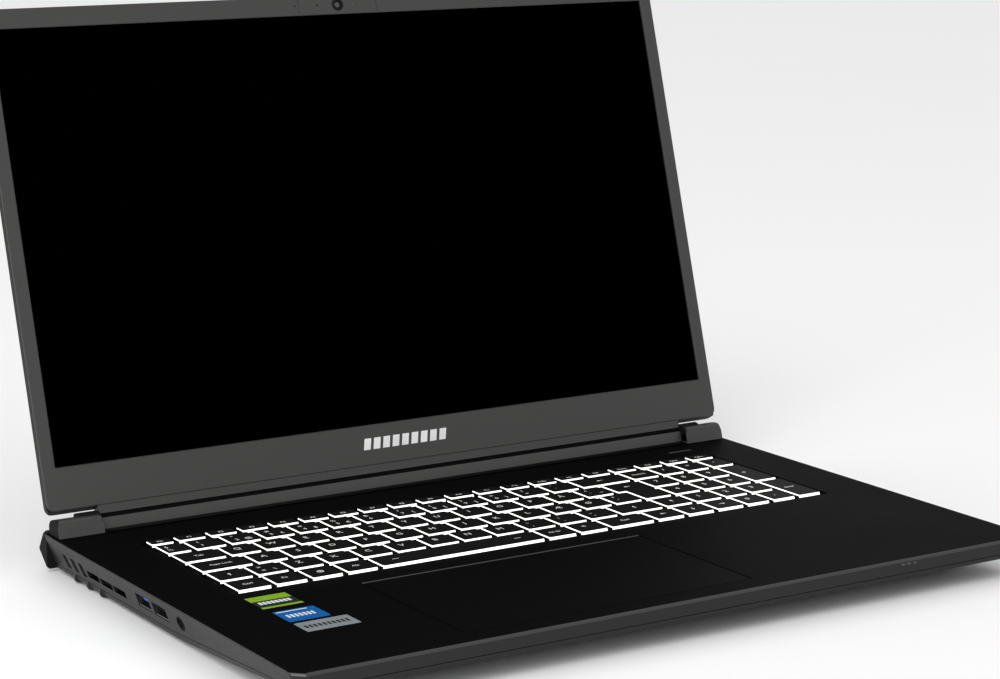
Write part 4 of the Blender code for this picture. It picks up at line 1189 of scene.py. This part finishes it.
def lights():
    """A white surround, a broad lamp high on the left and a small one close to the left corner."""
    world = bpy.data.worlds.new("studio")
    world.use_nodes = True
    back = world.node_tree.nodes["Background"]
    back.inputs["Color"].default_value = (1, 1, 1, 1)
    back.inputs["Strength"].default_value = 0.85
    bpy.context.scene.world = world
    lamp("key_lamp", (-1.6, -1.2, 1.9), (0, 0, 0.1), (1.4, 1.4), 20)
    lamp("left_lamp", (-0.53, -0.30, 0.12), (-0.10, 0.2, 0.05), (0.2, 0.14), 0.7)
    bpy.context.scene.view_settings.view_transform = "Standard"


# ---- operators


class LAPTOP_OT_stage(bpy.types.Operator):
    """Put up the camera, the lamps and the pale floor"""

    bl_idname = "laptop.stage"
    bl_label = "Stage"

    def execute(self, context):
        camera()
        floor()
        lights()
        return {"FINISHED"}


class LAPTOP_OT_deck(bpy.types.Operator):
    """Build the top case with its rounded edges and chamfered openings"""

    bl_idname = "laptop.deck"
    bl_label = "Top case"

    def execute(self, context):
        deck_piece()
        return {"FINISHED"}


class LAPTOP_OT_bottom(bpy.types.Operator):
    """Build the bottom case, its grilles, screws and side bumps"""

    bl_idname = "laptop.bottom"
    bl_label = "Bottom case"

    def execute(self, context):
        bottom_piece()
        bump_pieces()
        return {"FINISHED"}


class LAPTOP_OT_rear(bpy.types.Operator):
    """Build the exhaust housing, the copper fins and the hinge pods"""

    bl_idname = "laptop.rear"
    bl_label = "Exhaust and pods"

    def execute(self, context):
        exhaust_piece()
        fin_pieces()
        pod_pieces()
        return {"FINISHED"}


class LAPTOP_OT_ports(bpy.types.Operator):
    """Dress the sockets with their tongues, contacts and rings"""

    bl_idname = "laptop.ports"
    bl_label = "Sockets"

    def execute(self, context):
        port_pieces()
        return {"FINISHED"}


class LAPTOP_OT_inside(bpy.types.Operator):
    """Dress the fans, boards, battery and hinges, and build the feet"""

    bl_idname = "laptop.inside"
    bl_label = "Inner parts and feet"

    def execute(self, context):
        inside_pieces()
        return {"FINISHED"}


class LAPTOP_OT_keys(bpy.types.Operator):
    """Build the lit key caps with their plain legends"""

    bl_idname = "laptop.keys"
    bl_label = "Keys"

    def execute(self, context):
        key_pieces()
        return {"FINISHED"}


class LAPTOP_OT_touch(bpy.types.Operator):
    """Build the touchpad surface, the power key and the lamps"""

    bl_idname = "laptop.touch"
    bl_label = "Touchpad and power key"

    def execute(self, context):
        touch_pieces()
        lamp_pieces()
        return {"FINISHED"}


class LAPTOP_OT_labels(bpy.types.Operator):
    """Lay three plain labels on the palm rest"""

    bl_idname = "laptop.labels"
    bl_label = "Labels"

    def execute(self, context):
        label_pieces()
        return {"FINISHED"}


class LAPTOP_OT_lid(bpy.types.Operator):
    """Build the lid, its bezel and camera, and the hinge cover"""

    bl_idname = "laptop.lid"
    bl_label = "Lid"

    def execute(self, context):
        lid_pieces()
        hinge_bar_piece()
        return {"FINISHED"}


OPERATORS = (
    LAPTOP_OT_stage, LAPTOP_OT_deck, LAPTOP_OT_bottom, LAPTOP_OT_rear, LAPTOP_OT_ports,
    LAPTOP_OT_inside, LAPTOP_OT_keys, LAPTOP_OT_touch, LAPTOP_OT_labels, LAPTOP_OT_lid,
)


class LAPTOP_PT_panel(bpy.types.Panel):
    """Sizes, colours and steps of the laptop's looks"""

    bl_idname = "LAPTOP_PT_panel"
    bl_label = "Laptop"
    bl_space_type = "VIEW_3D"
    bl_region_type = "UI"
    bl_category = "Laptop"

    def draw(self, context):
        for group in (context.scene.laptop_sizes, context.scene.laptop_colours):
            box = self.layout.box()
            for name in group.bl_rna.properties.keys():
                if name not in ("rna_type", "name"):
                    box.prop(group, name)
        for step in OPERATORS:
            self.layout.operator(step.bl_idname)


CLASSES = (LaptopColours, LaptopSizes, *OPERATORS, LAPTOP_PT_panel)


def register():
    for cls in CLASSES:
        bpy.utils.register_class(cls)
    bpy.types.Scene.laptop_colours = bpy.props.PointerProperty(type=LaptopColours)
    bpy.types.Scene.laptop_sizes = bpy.props.PointerProperty(type=LaptopSizes)


def unregister():
    del bpy.types.Scene.laptop_colours
    del bpy.types.Scene.laptop_sizes
    for cls in reversed(CLASSES):
        bpy.utils.unregister_class(cls)


def main():
    register()
    for step in OPERATORS:
        getattr(bpy.ops.laptop, step.bl_idname.split(".")[1])()


if __name__ == "__main__":
    main()
